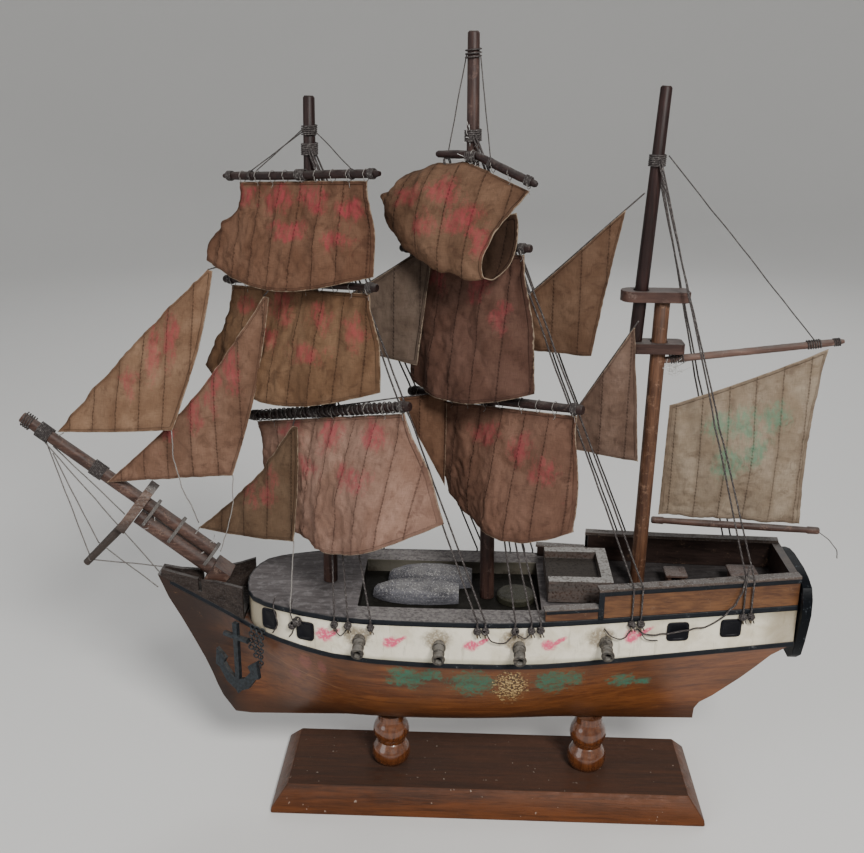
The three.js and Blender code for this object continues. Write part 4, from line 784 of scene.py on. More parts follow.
finish_with(BOARD, "base_board", bevel=0.7)
finish_with(HULL, "hull_block")
finish_with(SIDE, "upper_works")
finish_with(BULWARK, "quarter_bulwark")
finish_with(TRANSOM, "transom", bevel=0.6)
finish_with(HEADWORK, "beakhead")
finish_with(CAP_PLANK, "bowsprit_cap", bevel=0.35)
finish_with(BOOM, "bowsprit", "jib_boom", bevel=0.3)
finish_with(HATCH, "deck_hatch", bevel=0.4)
finish_with(OLIVE, "round_hatch", bevel=0.3)
finish_with(PLANK, "fore_top", "main_top", "mizzen_top", "mizzen_cap", bevel=0.35)
finish_with(SPAR, "fore_lower_mast", "main_lower_mast", "main_topmast")
finish_with(DARK_SPAR, "fore_topmast", "mizzen_topmast")
finish_with(TAN_SPAR, "mizzen_lower_mast")
finish_with(YARD, "fore_topsail_yard", "fore_course_yard", "main_topsail_yard", "main_course_yard")
finish_with(BOOM, "spanker_boom")
finish_with(IRON, "port_anchor", "starboard_anchor", bevel=0.35)


# ---------------------------------------------------------------- making pieces
class Stock:
    """Gathers points, faces and a layout, then makes one piece of them."""

    def __init__(self):
        self.points, self.faces, self.layout = [], [], []

    def add(self, points, faces, layout=None):
        start = len(self.points)
        self.points += [Vector(p) for p in points]
        self.faces += [tuple(start + i for i in f) for f in faces]
        self.layout += layout or [[(0, 0)] * len(f) for f in faces]

    def piece(self, name, material, body, slot, replaces=(), shading=38):
        mesh = bpy.data.meshes.new(name)
        mesh.from_pydata([p * MM for p in self.points], [], self.faces)
        layer = mesh.uv_layers.new(name="layout")
        flat = [c for f in self.layout for uv in f for c in uv]
        layer.data.foreach_set("uv", flat)
        mesh.materials.append(material)
        mesh.shade_smooth()
        if shading:
            mesh.set_sharp_from_angle(angle=math.radians(shading))
        mesh.update()
        obj = bpy.data.objects.new(name, mesh)
        bpy.context.scene.collection.objects.link(obj)
        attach(obj, body)
        if replaces:
            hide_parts(*replaces)
        return obj

    def tube(self, path, radius, sides=7, ends=True):
        """Tube along a path; radius is one number or one for each point."""
        path = [Vector(p) for p in path]
        radii = radius if isinstance(radius, (list, tuple)) else [radius] * len(path)
        points, faces, layout = [], [], []
        way = (path[1] - path[0]).normalized()
        side = way.orthogonal().normalized()
        travelled = 0.0
        runs = []
        for i, p in enumerate(path):
            ahead = path[min(i + 1, len(path) - 1)] - path[max(i - 1, 0)]
            ahead.normalize()
            side = (side - ahead * side.dot(ahead)).normalized()
            other = ahead.cross(side)
            if i:
                travelled += (p - path[i - 1]).length
            runs.append(travelled / max(2 * math.pi * radii[i], 1e-6))
            for k in range(sides):
                a = 2 * math.pi * k / sides
                points.append(p + (side * math.cos(a) + other * math.sin(a)) * radii[i])
        for i in range(len(path) - 1):
            for k in range(sides):
                n = (k + 1) % sides
                faces.append((i * sides + k, i * sides + n, (i + 1) * sides + n, (i + 1) * sides + k))
                u0, u1 = k / sides, (k + 1) / sides
                layout.append([(u0, runs[i]), (u1, runs[i]), (u1, runs[i + 1]), (u0, runs[i + 1])])
        if ends:
            last = (len(path) - 1) * sides
            faces.append(tuple(reversed(range(sides))))
            faces.append(tuple(last + k for k in range(sides)))
            layout += [[(0, 0)] * sides, [(0, 0)] * sides]
        self.add(points, faces, layout)

    def line(self, a, b, radius, sag=0.0, steps=10, sides=7, stray=0.12):
        """Thread between two points, a little slack and never quite straight."""
        a, b = Vector(a), Vector(b)
        path = []
        for i in range(steps + 1):
            t = i / steps
            p = a.lerp(b, t)
            p.z -= sag * 4 * t * (1 - t)
            off = noise.noise_vector(p * 0.09) * stray * math.sin(math.pi * t)
            path.append(p + off)
        self.tube(path, radius, sides)

    def coil(self, a, b, spar, turns, thread=0.35, sides=6, loose=0.1):
        """Thread wound round a spar from a to b."""
        a, b = Vector(a), Vector(b)
        way = (b - a).normalized()
        side = way.orthogonal().normalized()
        other = way.cross(side)
        path = []
        count = int(turns * 14)
        for i in range(count + 1):
            t = i / count
            angle = 2 * math.pi * turns * t
            out = spar + thread * 0.9 + loose * noise.noise(Vector((i * 0.31, spar, turns)))
            path.append(a.lerp(b, t) + (side * math.cos(angle) + other * math.sin(angle)) * out)
        self.tube(path, thread, sides)

    def knot(self, centre, size, thread=0.35, seed=1.0):
        """Small lump of thread, with loops at odd angles."""
        centre = Vector(centre)
        for k in range(3):
            tilt = noise.noise_vector(Vector((seed, k * 1.7, 2.3))).normalized()
            a = centre - tilt * size * 0.35
            b = centre + tilt * size * 0.35
            self.coil(a, b, size * 0.45, 2.2, thread, 6, 0.05)

    def ring(self, centre, axis, radius, wire, steps=16, sides=8, stretch=1.0):
        centre, axis = Vector(centre), Vector(axis).normalized()
        side = axis.orthogonal().normalized()
        other = axis.cross(side)
        points, faces, layout = [], [], []
        for i in range(steps):
            a = 2 * math.pi * i / steps
            out = side * math.cos(a) * stretch + other * math.sin(a)
            mid = centre + out * radius
            for k in range(sides):
                c = 2 * math.pi * k / sides
                points.append(mid + (out.normalized() * math.cos(c) + axis * math.sin(c)) * wire)
        for i in range(steps):
            j = (i + 1) % steps
            for k in range(sides):
                n = (k + 1) % sides
                faces.append((i * sides + k, j * sides + k, j * sides + n, i * sides + n))
                layout.append([(0, i), (0, i + 1), (1, i + 1), (1, i)])
        self.add(points, faces, layout)

    def slab(self, corner, size, turn=0.0, ease=0.5):
        """Box with eased edges, from a low corner; turn is about Z through its middle."""
        x, y, z = size
        mid = Vector(corner) + Vector(size) / 2
        e = min(ease, x / 3, y / 3, z / 3)
        spin = Matrix.Rotation(turn, 3, "Z")
        rings = []
        for h, inset in ((-z / 2, e), (-z / 2 + e, 0), (z / 2 - e, 0), (z / 2, e)):
            ring = []
            for sx, sy in ((-1, -1), (1, -1), (1, 1), (-1, 1)):
                px, py = x / 2 - inset, y / 2 - inset
                first = (sx * (px - e), sy * py)
                second = (sx * px, sy * (py - e))
                pair = (second, first) if sx * sy > 0 else (first, second)
                if sx * sy > 0:
                    pair = (first, second) if (sx, sy) == (1, 1) and False else (second, first)
                ring += [Vector((*q, h)) for q in pair]
            rings.append(ring)
        order = sorted(range(8), key=lambda i: math.atan2(rings[1][i].y, rings[1][i].x))
        points = [mid + spin @ ring[i] for ring in rings for i in order]
        faces = []
        for r in range(3):
            for i in range(8):
                j = (i + 1) % 8
                faces.append((r * 8 + i, r * 8 + j, (r + 1) * 8 + j, (r + 1) * 8 + i))
        faces.append(tuple(reversed(range(8))))
        faces.append(tuple(range(24, 32)))
        self.add(points, faces)

    def band(self, path, low, high, out, inner=0.15):
        """Flat strip that follows a path of (x, y, normal x, normal y), with heights for each point."""
        points, faces = [], []
        for (x, y, nx, ny), z0, z1 in zip(path, low, high):
            e = min(0.22, (z1 - z0) / 4)
            for off, z in ((-inner, z0), (out - 0.18, z0), (out, z0 + e), (out, z1 - e), (out - 0.18, z1), (-inner, z1)):
                points.append((x + nx * off, y + ny * off, z))
        n = 6
        for i in range(len(path) - 1):
            for k in range(n):
                j = (k + 1) % n
                faces.append((i * n + k, (i + 1) * n + k, (i + 1) * n + j, i * n + j))
        last = (len(path) - 1) * n
        faces.append(tuple(range(n)))
        faces.append(tuple(last + k for k in reversed(range(n))))
        self.add(points, faces)


# ---------------------------------------------------------------- lines of the hull
HALF_BEAM = high_of("hull_block").y
BOW_X = low_of("upper_works").x
STERN_X = high_of("upper_works").x
BREADTH = [
    (-156, 0.065), (-148, 0.085), (-138, 0.14), (-128, 0.23), (-120, 0.33), (-113, 0.45),
    (-105, 0.6), (-98, 0.7), (-90, 0.79), (-80, 0.88), (-70, 0.945), (-55, 0.985), (-30, 1),
    (0, 1), (20, 0.965), (40, 0.895), (60, 0.815), (85, 0.725), (110, 0.64), (135.5, 0.55),
]
BLOCK_SHEER = [
    (-156, 24), (-148, 19.5), (-138, 15), (-128, 11.5), (-118, 8.8), (-108, 7), (-95, 5.2),
    (-75, 2.8), (-50, 0.9), (-25, 0), (25, 0), (50, 1), (85, 3), (135.5, 6.2),
]
DECK_SHEER = [(-113, 1.6), (-90, 0.9), (-50, 0.1), (0, 0), (50, 1), (90, 2.2), (135.5, 4)]
BOW_ROUND = [(0, 0), (0.8, 0.2), (2.4, 0.37), (5.5, 0.53), (11, 0.67), (18, 0.78), (28, 0.87)]
DECK_Z = high_of("upper_works").z - 4
BLOCK_Z = high_of("hull_block").z - 24
RAIL_H = 14
STEP_H = 5.5
STEP_X = 47
RAIL_T = 3.6


def block_top(x):
    return BLOCK_Z + table(BLOCK_SHEER, x)


def hull_half(x):
    return HALF_BEAM * table(BREADTH, x)


def upper_half(x):
    round_bow = HALF_BEAM * table(BOW_ROUND, x - BOW_X) if x - BOW_X < 28 else 1e9
    return min(round_bow, hull_half(x))


def deck_top(x):
    return DECK_Z + table(DECK_SHEER, x)


def side_path(xs, half, side):
    """Points along one side with outward directions, from the first x to the last."""
    path = []
    for i, x in enumerate(xs):
        a, b = xs[max(i - 1, 0)], xs[min(i + 1, len(xs) - 1)]
        dx, dy = b - a, half(b) - half(a)
        long = math.hypot(dx, dy) or 1
        path.append((x, side * half(x), -dy / long, side * dx / long))
    return path


def spread(a, b, n):
    return [lerp(a, b, i / n) for i in range(n + 1)]


BOW_XS = [BOW_X + d for d in (0, 0.8, 2.4, 5.5, 11, 18, 28)]
UPPER_XS = BOW_XS + spread(BOW_X + 28, STERN_X, 15)[1:]


# ---------------------------------------------------------------- masts and spars
def mast_line(x0, z0, x1, z1):
    return lambda z: Vector((lerp(x0, x1, (z - z0) / (z1 - z0)), 0, z))


FORE_LOWER = mast_line(-75, 110, -73.6, 226)
MAIN_LOWER = mast_line(-1.8, 97, -4.2, 229)
MIZZEN_LOWER = mast_line(67, 110, 69, 243)
FORE_TOP = mast_line(-80.6, 208, -79, 325)
MAIN_TOP = mast_line(-11.2, 211, -13, 350)
MIZZEN_TOP = mast_line(58.6, 226, 64, 330)
LOWER_R, TOP_R = 3.3, 2.9
BOOM_TIP, BOOM_HEEL = Vector((-212.5, 0, 186)), Vector((-129, 0, 122))


def boom(x):
    return BOOM_TIP.lerp(BOOM_HEEL, (x - BOOM_TIP.x) / (BOOM_HEEL.x - BOOM_TIP.x))


BRACE = math.radians(58)
ACROSS = Vector((math.sin(BRACE), -math.cos(BRACE), 0))
AHEAD = Vector((-math.cos(BRACE), -math.sin(BRACE), 0))
RIGS = {
    "fore_topgallant": dict(axis=-79.4, mast=2.9, r=1.75, yard=(-44, 291, 40, 297), head=(-34, 34),
                            foot=(-53, 254, 35, 256), droop=8, belly=9, hollow=1.8, full=1, space=0.6),
    "fore_topsail": dict(axis=-80, mast=2.9, r=1.75, yard=(-46, 246, 39, 252), head=(-42, 35),
                         foot=(-59, 205, 39, 208), droop=9, belly=11, hollow=1.5, full=1.2, space=0.6),
    "fore_course": dict(axis=-74.1, mast=3.3, r=2.1, yard=(-40, 184, 50, 205), head=(-35, 47),
                        foot=(-30, 144, 66, 157), droop=13, belly=17, hollow=1.2, full=1.7, space=3.0),
    "main_topgallant": dict(axis=-12.3, mast=2.9, r=1.75, yard=(-33, 292, 33, 293), head=(-30, 30),
                            foot=(-24, 272, 20, 262), droop=9, belly=14, hollow=1.5, full=1, space=0.6),
    "main_topsail": dict(axis=-12, mast=2.9, r=1.75, yard=(-33, 262, 31, 268), head=(-28, 28),
                         foot=(-26, 206, 34, 208), droop=5, belly=10, hollow=1.2, full=1.1, space=0.6),
    "main_course": dict(axis=-3.7, mast=3.3, r=2.1, yard=(-38, 197, 49, 204), head=(-33, 46),
                        foot=(-10, 152, 47, 149), droop=6, belly=13, hollow=1.4, full=1.3, space=0.6),
}
CRACK = (4, 303)


def yard_z(name, s):
    s0, z0, s1, z1 = RIGS[name]["yard"]
    if name == "main_topgallant":
        if s < CRACK[0]:
            return lerp(z0, CRACK[1], (s - s0) / (CRACK[0] - s0))
        return lerp(CRACK[1], z1, (s - CRACK[0]) / (s1 - CRACK[0]))
    return lerp(z0, z1, (s - s0) / (s1 - s0))


def yard_depth(name, s):
    if name != "main_topgallant":
        return 0.0
    s0, s1 = RIGS[name]["yard"][0], RIGS[name]["yard"][2]
    if s < CRACK[0]:
        return lerp(3, 1.2, (s - s0) / (CRACK[0] - s0))
    return lerp(1.2, 0, (s - CRACK[0]) / (s1 - CRACK[0]))


def on_rig(name, s, z, depth=0.0):
    rig = RIGS[name]
    out = rig["mast"] + rig["r"] + rig["space"] + depth
    return Vector((rig["axis"], 0, z)) + ACROSS * s + AHEAD * out


def on_yard(name, s):
    return on_rig(name, s, yard_z(name, s), yard_depth(name, s))


# ---------------------------------------------------------------- cloth
def brushed(dabs, seed):
    """Strength of paint at a place: soft patches, each (across, height, half width, half height), thinning outward."""
    def strength(u, v):
        wander = noise.noise_vector(Vector((u * 0.14, v * 0.14, seed)))
        most = 0.0
        for cu, cv, ru, rv in dabs:
            away = math.hypot((u - cu + wander.x * 4) / ru, (v - cv + wander.y * 4) / rv)
            most = max(most, 1 - smooth(0.3, 1.55, away))
        streak = noise.noise(Vector((u * 0.9, v * 0.16, seed + 4)))
        return most * min(1, 0.85 + 0.6 * streak)
    return strength


def cloth(name, node, body, shape, material, way, dabs=(), creases=1.0,
          seed=0.0, step=1.0, pucker=1.0, origin=0.0, flat=None, front=1.01):
    """One sail on a fine grid: shape(a, b) gives the middle of the cloth, from head to foot as b grows."""
    wide = max(sum((shape(i / 12, b) - shape((i + 1) / 12, b)).length for i in range(12)) for b in (0.05, 0.5, 0.95))
    tall = max(sum((shape(a, i / 12) - shape(a, (i + 1) / 12)).length for i in range(12)) for a in (0, 0.5, 1))
    nu, nv = max(8, round(wide / step)), max(8, round(tall / step))
    rest = [[shape(i / nu, j / nv) for i in range(nu + 1)] for j in range(nv + 1)]
    row_width = [sum((r[i + 1] - r[i]).length for i in range(nu)) for r in rest]
    column = [sum((rest[j + 1][i] - rest[j][i]).length for j in range(nv)) for i in range(nu + 1)]
    area = flat_area = 0.0
    points, layout, edges, paint, roll_shade = [], [], [], [], []
    strength = brushed(dabs, seed)
    for j in range(nv + 1):
        for i in range(nu + 1):
            p = rest[j][i]
            du = rest[j][min(i + 1, nu)] - rest[j][max(i - 1, 0)]
            dv = rest[min(j + 1, nv)][i] - rest[max(j - 1, 0)][i]
            normal = du.cross(dv)
            normal = normal.normalized() if normal.length > 1e-6 else Vector((0, -1, 0))
            u, v = p.dot(way) - origin, p.z
            a, b = i / nu, j / nv
            edge = min(a * row_width[j], (1 - a) * row_width[j], b * column[i], (1 - b) * column[i])
            to_seam = abs((u / 11.2 + 0.5) % 1 - 0.5) * 11.2
            hang = smooth(0, 8, b * column[i])
            fold = noise.noise(Vector((u * 0.10 + v * 0.03 + seed, v * 0.022, seed))) * 1.7
            fold += noise.noise(Vector((u * 0.24 - v * 0.05, v * 0.07 + seed, 3.1 + seed))) * 0.9
            ridge = noise.noise(Vector((u * 0.2 + v * 0.16, v * 0.13 - u * 0.1, seed * 2)))
            fold += 0.55 * (0.35 - abs(ridge)) * 2
            ridge = noise.noise(Vector((u * 0.5 - v * 0.2, v * 0.22 + u * 0.1, seed * 2 + 5)))
            fold += 0.22 * (0.35 - abs(ridge)) * 2
            fold *= creases * (0.35 + 0.65 * hang)
            seam = -0.30 * math.exp(-(to_seam / 1.1) ** 2)
            seam += 0.32 * math.exp(-(to_seam / 3.2) ** 2) * noise.noise(Vector((round(u / 11.2) * 7.3, v * 0.42, seed)))
            wave = 0.32 * noise.noise(Vector((u * 0.16, v * 0.16, 9 + seed))) * (1 - smooth(0, 5, edge)) * 2
            points.append(p + normal * (fold + seam * pucker + wave))
            layout.append((u * MM, v * MM))
            edges.append(edge)
            paint.append(strength(u, v) if b < front else 0)
            # painted shade: past front, where the foot rolls up behind, the cloth is marked to be darkened
            roll_shade.append(smooth(front, front + 0.08, b))
    faces = []
    for j in range(nv):
        for i in range(nu):
            k = j * (nu + 1) + i
            face = (k, k + 1, k + nu + 2, k + nu + 1)
            faces.append(face)
            c = [rest[j][i], rest[j][i + 1], rest[j + 1][i + 1], rest[j + 1][i]]
            area += ((c[2] - c[0]).cross(c[3] - c[1])).length / 2
            flat_c = [Vector((q.dot(way), q.z)) for q in c]
            flat_area += abs((flat_c[2] - flat_c[0]).cross(flat_c[3] - flat_c[1])) / 2
    mesh = bpy.data.meshes.new(name)
    mesh.from_pydata([p * MM for p in points], [], faces)
    layer = mesh.uv_layers.new(name="layout")
    layer.data.foreach_set("uv", [c for f in faces for k in f for c in layout[k]])
    for label, values in (("edge", edges), ("paint", paint), ("roll_shade", roll_shade)):
        mesh.attributes.new(label, "FLOAT", "POINT").data.foreach_set("value", values)
    mesh.materials.append(material)
    mesh.shade_smooth()
    mesh.update()
    obj = bpy.data.objects.new(name, mesh)
    bpy.context.scene.collection.objects.link(obj)
    skin = obj.modifiers.new("cloth thickness", "SOLIDIFY")
    skin.thickness = 0.42 * MM
    skin.offset = 0
    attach(obj, body)
    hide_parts(node)
    fullness = math.sqrt(area / flat_area)
    us, zs = [c[0] for c in layout], [c[1] for c in layout]
    flat = flat or [round(fullness * (max(values) - min(values)), 4) for values in (us, zs)]
    return obj


CLOTH_T = 0.7


def square_sail(name):
    rig = RIGS[name]
    f0, fz0, f1, fz1 = rig["foot"]

    def shape(a, b):
        head_s = lerp(*rig["head"], a)
        head_z = yard_z(name, head_s) - rig["r"] - 0.5 - CLOTH_T / 2
        foot_z = lerp(fz0, fz1, a) - rig["droop"] * math.sin(math.pi * a)
        share = b ** lerp(rig["hollow"], 1, a)
        if name == "fore_topgallant":
            share = lerp(smooth(0.1, 0.85, b), share, a)
        s = lerp(head_s, lerp(f0, f1, a), share)
        swell = math.sin(math.pi * a ** rig["full"]) ** 0.75 if 0 < a < 1 else 0
        depth = rig["belly"] * swell * math.sin(math.pi * b / 2) + 3 * b * b
        roll = smooth(0.9, 1, a) * smooth(0.1, 0.6, b)
        return on_rig(name, s + 1.2 * roll, lerp(head_z, foot_z, b), depth - 3.2 * roll)

    return shape


CURL_HEAD = [(0, -31, 288.5, 5), (0.12, -27, 293.5, 4), (0.3, -12, 298.8, 3), (0.5, 2, 300, 2), (1, 30, 290.3, 0)]
CURL_FOLD = [(0, -30.5, 277.5, 8), (0.14, -28, 270.5, 13), (0.32, -18.5, 264.3, 17), (0.55, -4, 259, 19),
             (0.8, 10, 256.8, 19), (1, 20, 256.8, 17)]


def bezier(p0, p1, p2, p3, t):
    q = 1 - t
    return p0 * (q ** 3) + p1 * (3 * q * q * t) + p2 * (3 * q * t * t) + p3 * (t ** 3)


def row_of(rows, key):
    return Vector([table([(row[0], row[k]) for row in rows], key) for k in (1, 2, 3)])


def curled_sail(a, b):
    """The foot has blown forward and rolled up behind, open at the starboard leech."""
    head, fold = row_of(CURL_HEAD, a), row_of(CURL_FOLD, a)
    left = (1 - a) ** 2
    turn = 0.58
    if b < turn:
        p1 = head + Vector((-4.5 * left - 4 * a, -5, 11 * math.sin(math.pi * min(a + 0.1, 1)) + 2))
        p2 = fold + Vector((-4.5 * left - 4 * a, 11, 9 * (1 - 0.5 * a)))
        q = bezier(head, p1, p2, fold, b / turn)
    else:
        back = fold + Vector((lerp(6, 5.5, a), lerp(8, 25, a), -lerp(6, 15, a)))
        first = fold + Vector((lerp(0, 6, a), lerp(-5, -2, a), -5 - 3 * a))
        q = bezier(fold, first, back + Vector((lerp(2, 5, a), -12, 2)), back, (b - turn) / (1 - turn))
    return on_rig("main_topgallant", *q)


RED = {
    "fore_topgallant": [(-30, 283, 7, 5), (-12, 284, 9, 6), (8, 285, 8, 6), (27, 282, 7, 6), (-4, 272, 12, 4), (20, 270, 8, 5)],
    "fore_topsail": [(-32, 236, 8, 5), (-10, 238, 9, 7), (12, 236, 8, 6), (28, 232, 6, 7), (-20, 224, 9, 5), (8, 222, 11, 4)],
    "fore_course": [(-14, 182, 9, 6), (12, 186, 8, 8), (34, 190, 8, 6), (0, 170, 10, 5), (28, 172, 9, 6)],
    "main_topgallant": [(-18, 287, 7, 5), (-2, 289, 8, 6), (8, 280, 8, 7), (16, 272, 6, 7), (-8, 276, 6, 5)],
    "main_topsail": [(-12, 252, 6, 6), (8, 250, 6, 7), (20, 240, 5, 6)],
    "main_course": [(4, 186, 8, 6), (24, 184, 7, 7), (36, 176, 5, 7)],
}
# the main topgallant's foot rolls up behind from b = 0.58; that part takes no paint and is painted dark as shade
for order, name in enumerate(RIGS):
    shape = curled_sail if name == "main_topgallant" else square_sail(name)
    cloth(name + "_canvas", name + "_sail", name, shape, COTTON[name], ACROSS,
          RED.get(name, ()), seed=order * 3.7 + 1, origin=ACROSS.x * RIGS[name]["axis"],
          flat=(0.062, 0.072) if name == "main_topgallant" else None,
          front=0.58 if name == "main_topgallant" else 1.01)


def stay_sail(peak, tack, clew, belly, luff=0.0, leech=0.0, foot=0.0):
    """Three-cornered sail; luff, leech and foot are how far each edge bows outward."""
    peak, tack, clew = Vector(peak), Vector(tack), Vector(clew)
    aft = peak + Vector((2.2, 0, -0.6))
    ahead = (tack - peak).cross(Vector((0, 1, 0))).normalized() * luff

    def shape(a, b):
        bow = math.sin(math.pi * b)
        front = peak.lerp(tack, b) - ahead * bow
        p = front.lerp(aft.lerp(clew, b) + Vector((leech * bow, 0, 0)), a)
        p.z -= foot * b * b * math.sin(math.pi * a)
        p.y -= belly * math.sin(math.pi * a) * math.sin(math.pi * min(0.8 * b, 0.8))
        return p

    return shape


def four_cornered(peak, tack, foot, clew, belly):
    peak, tack, foot, clew = Vector(peak), Vector(tack), Vector(foot), Vector(clew)

    def shape(a, b):
        p = tack.lerp(foot, b).lerp(peak.lerp(clew, b), a)
        p.y -= belly * math.sin(math.pi * a) * math.sin(math.pi * (0.15 + 0.7 * b))
        return p

    return shape


def along(a, b):
    a, b = Vector(a), Vector(b)
    return lambda x: a.lerp(b, (x - a.x) / (b.x - a.x))


MS_STAY = ((-70.2, -0.4, 194), (-7.5, -0.4, 204))
MTS_STAY = ((-75.5, 0.5, 236), (-15.4, 0.5, 275))
ZTS_STAY = ((0.4, -0.5, 234), (58.2, -0.5, 288))
ZS_STAY = ((4, -5, 146), (58.4, -6.9, 236))
on_ms, on_mts, on_zts, on_zs = along(*MS_STAY), along(*MTS_STAY), along(*ZTS_STAY), along(*ZS_STAY)
JIB_PEAK, JIB_TACK = Vector((-128.5, 16.6, 250.6)), boom(-199) + Vector((2.0, 0, 3.4))
INNER_PEAK, INNER_TACK = Vector((-100, -4, 243.5)), boom(-176) + Vector((0.5, -3.4, -1.6))
FORWARD = [
    ("flying_jib", stay_sail(JIB_PEAK, JIB_TACK, (-141, -13.5, 185.6), 2.5, 1.5, 2.5),
     [(-152, 216, 4, 14), (-144, 222, 4, 12), (-163, 202, 4, 9)]),
    ("inner_jib", stay_sail(INNER_PEAK, INNER_TACK, (-117, -6.5, 162.4), 3, -5, 2.5, -1),
     [(-124, 205, 4, 15), (-115, 212, 4, 14), (-133, 192, 4, 12), (-146, 184, 5, 8)]),
    ("fore_staysail", stay_sail((-89, -7, 186.6), (-135, -1.2, 134), (-88.5, -19.5, 136.6), 3, -3, 1),
     [(-100, 160, 4, 9), (-108, 154, 4, 8)]),
    ("main_staysail", stay_sail(on_ms(-24), on_ms(-43), (-22, -10, 161), 1.2), ()),
    ("main_topmast_staysail", four_cornered(on_mts(-28), on_mts(-66), (-66, -4, 222), (-34.5, -9, 215.5), 1.5), ()),
    ("mizzen_topmast_staysail", four_cornered(on_zts(51), on_zts(4), (5, -0.5, 222), (40, -1, 219), 4), ()),
    ("mizzen_staysail", four_cornered(on_zs(57), on_zs(35), (34.4, -5.6, 178), (62.5, -6.6, 173), 2.4), ()),
]
LENGTHWISE = Vector((1, 0, 0))
for order, (name, shape, dabs) in enumerate(FORWARD):
    cloth(name + "_canvas", name, "ship", shape, COTTON[name], LENGTHWISE,
          dabs, creases=0.55, seed=order * 2.9 + 30)


def spanker(a, b):
    head = Vector((lerp(75.5, 141, a), 0, lerp(197, 223.4, a) - math.sin(math.pi * a)))
    foot = Vector((lerp(74.5, 138, a), 0, lerp(145.4, 142.2, a)))
    p = head.lerp(foot, b)
    p.y -= 5 * math.sin(math.pi * a) * math.sin(math.pi * b)
    p.x -= 2.4 * a * math.sin(math.pi * b)
    return p


cloth("spanker_canvas", "spanker_sail", "spanker", spanker, COTTON["spanker"], LENGTHWISE,
      [(97, 188, 8, 7), (108, 190, 8, 9), (120, 194, 8, 8), (103, 172, 8, 9), (114, 178, 7, 7)],
      creases=0.8, seed=71)


# ---------------------------------------------------------------- threads
def shroud_set(name, node, sets):
    """Threads from a masthead, over the rail to eyes in the side; each side has its own."""
    threads, eyes = Stock(), Stock()
    for line, mast_r, z, feet in sets:
        threads.coil(line(z - 1.4), line(z + 3.4), mast_r, 6, 0.4)
        for side in (-1, 1):
            for i, x in enumerate(feet):
                start = line(z + 2) + Vector((0.8 * i, side * (mast_r + 0.7), -1 + 0.8 * i))
                start.z = z + 1 + 0.8 * i
                out = upper_half(x) + 1.0
                rise = 0 if x < 23 else (STEP_H if x < STEP_X else RAIL_H - 0.6)
                knee = Vector((x, side * out, deck_top(x) + rise + 0.9))
                eye = Vector((x, side * out, deck_top(x) - 4.5))
                threads.line(start, knee, 0.4, steps=26, stray=0.5)
                threads.line(knee, eye, 0.4, steps=4, stray=0.1)
                threads.knot(eye + Vector((0, side * 0.4, 1.4)), 2.3, 0.38, x * 0.7 + side)
                tail = eye + Vector((1.5, side * 1.0, -1.5))
                threads.tube([eye + Vector((0, side * 0.4, 1)), eye + Vector((0.8, side * 1.2, 0.2)), tail], 0.3, 6)
                eyes.ring(eye + Vector((0, side * 0.2, -0.6)), (1, 0, 0.2), 1.15, 0.36)
                eyes.tube([eye + Vector((0, -side * 1.6, -0.6)), eye + Vector((0, -side * 0.7, -0.6))], 0.42, 8)
    threads.piece(name, BLACK_THREAD, "ship", "rigging_thread", [node], 0)
    eyes.piece(name + "_eyes", BRASS, "ship", "gun_metal", (), 0)


shroud_set("fore_rigging", "fore_shrouds", [
    (FORE_LOWER, LOWER_R, 198.4, (-69, -63, -53)), (FORE_TOP, TOP_R, 303, (-6.5, -3))])
shroud_set("main_rigging", "main_shrouds", [
    (MAIN_LOWER, LOWER_R, 189, (10, 17, 21)), (MAIN_TOP, TOP_R, 309, (61, 65))])
shroud_set("mizzen_rigging", "mizzen_shrouds", [(MIZZEN_TOP, TOP_R, 300, (114, 110.5))])

stays = Stock()
for a, b in (MS_STAY, MTS_STAY, ZTS_STAY, ZS_STAY):
    stays.line(a, b, 0.34, steps=20, stray=0.2)
beyond = INNER_PEAK + (INNER_PEAK - INNER_TACK).normalized() * 16
stays.line(INNER_PEAK, beyond, 0.3, steps=8, stray=0.1)
stays.line(JIB_PEAK, (-121, 17.5, 252.5), 0.3, steps=8, stray=0.1)
stays.line((-89, -7, 186.6), (-85.6, -5.2, 200.5), 0.3, steps=8, stray=0.1)
stays.line((-85.6, -5.2, 200.5), (-77.2, -1.2, 204), 0.3, steps=8, stray=0.1)
for x in (-203, -180):
    way = (BOOM_HEEL - BOOM_TIP).normalized()
    stays.coil(boom(x) - way * 3.2, boom(x) + way * 3.2, 3.15, 9, 0.36)
stays.coil(boom(-211.5), boom(-208), 3.1, 4, 0.32)
stays.piece("stays", BLACK_THREAD, "ship", "rigging_thread", (), 0)

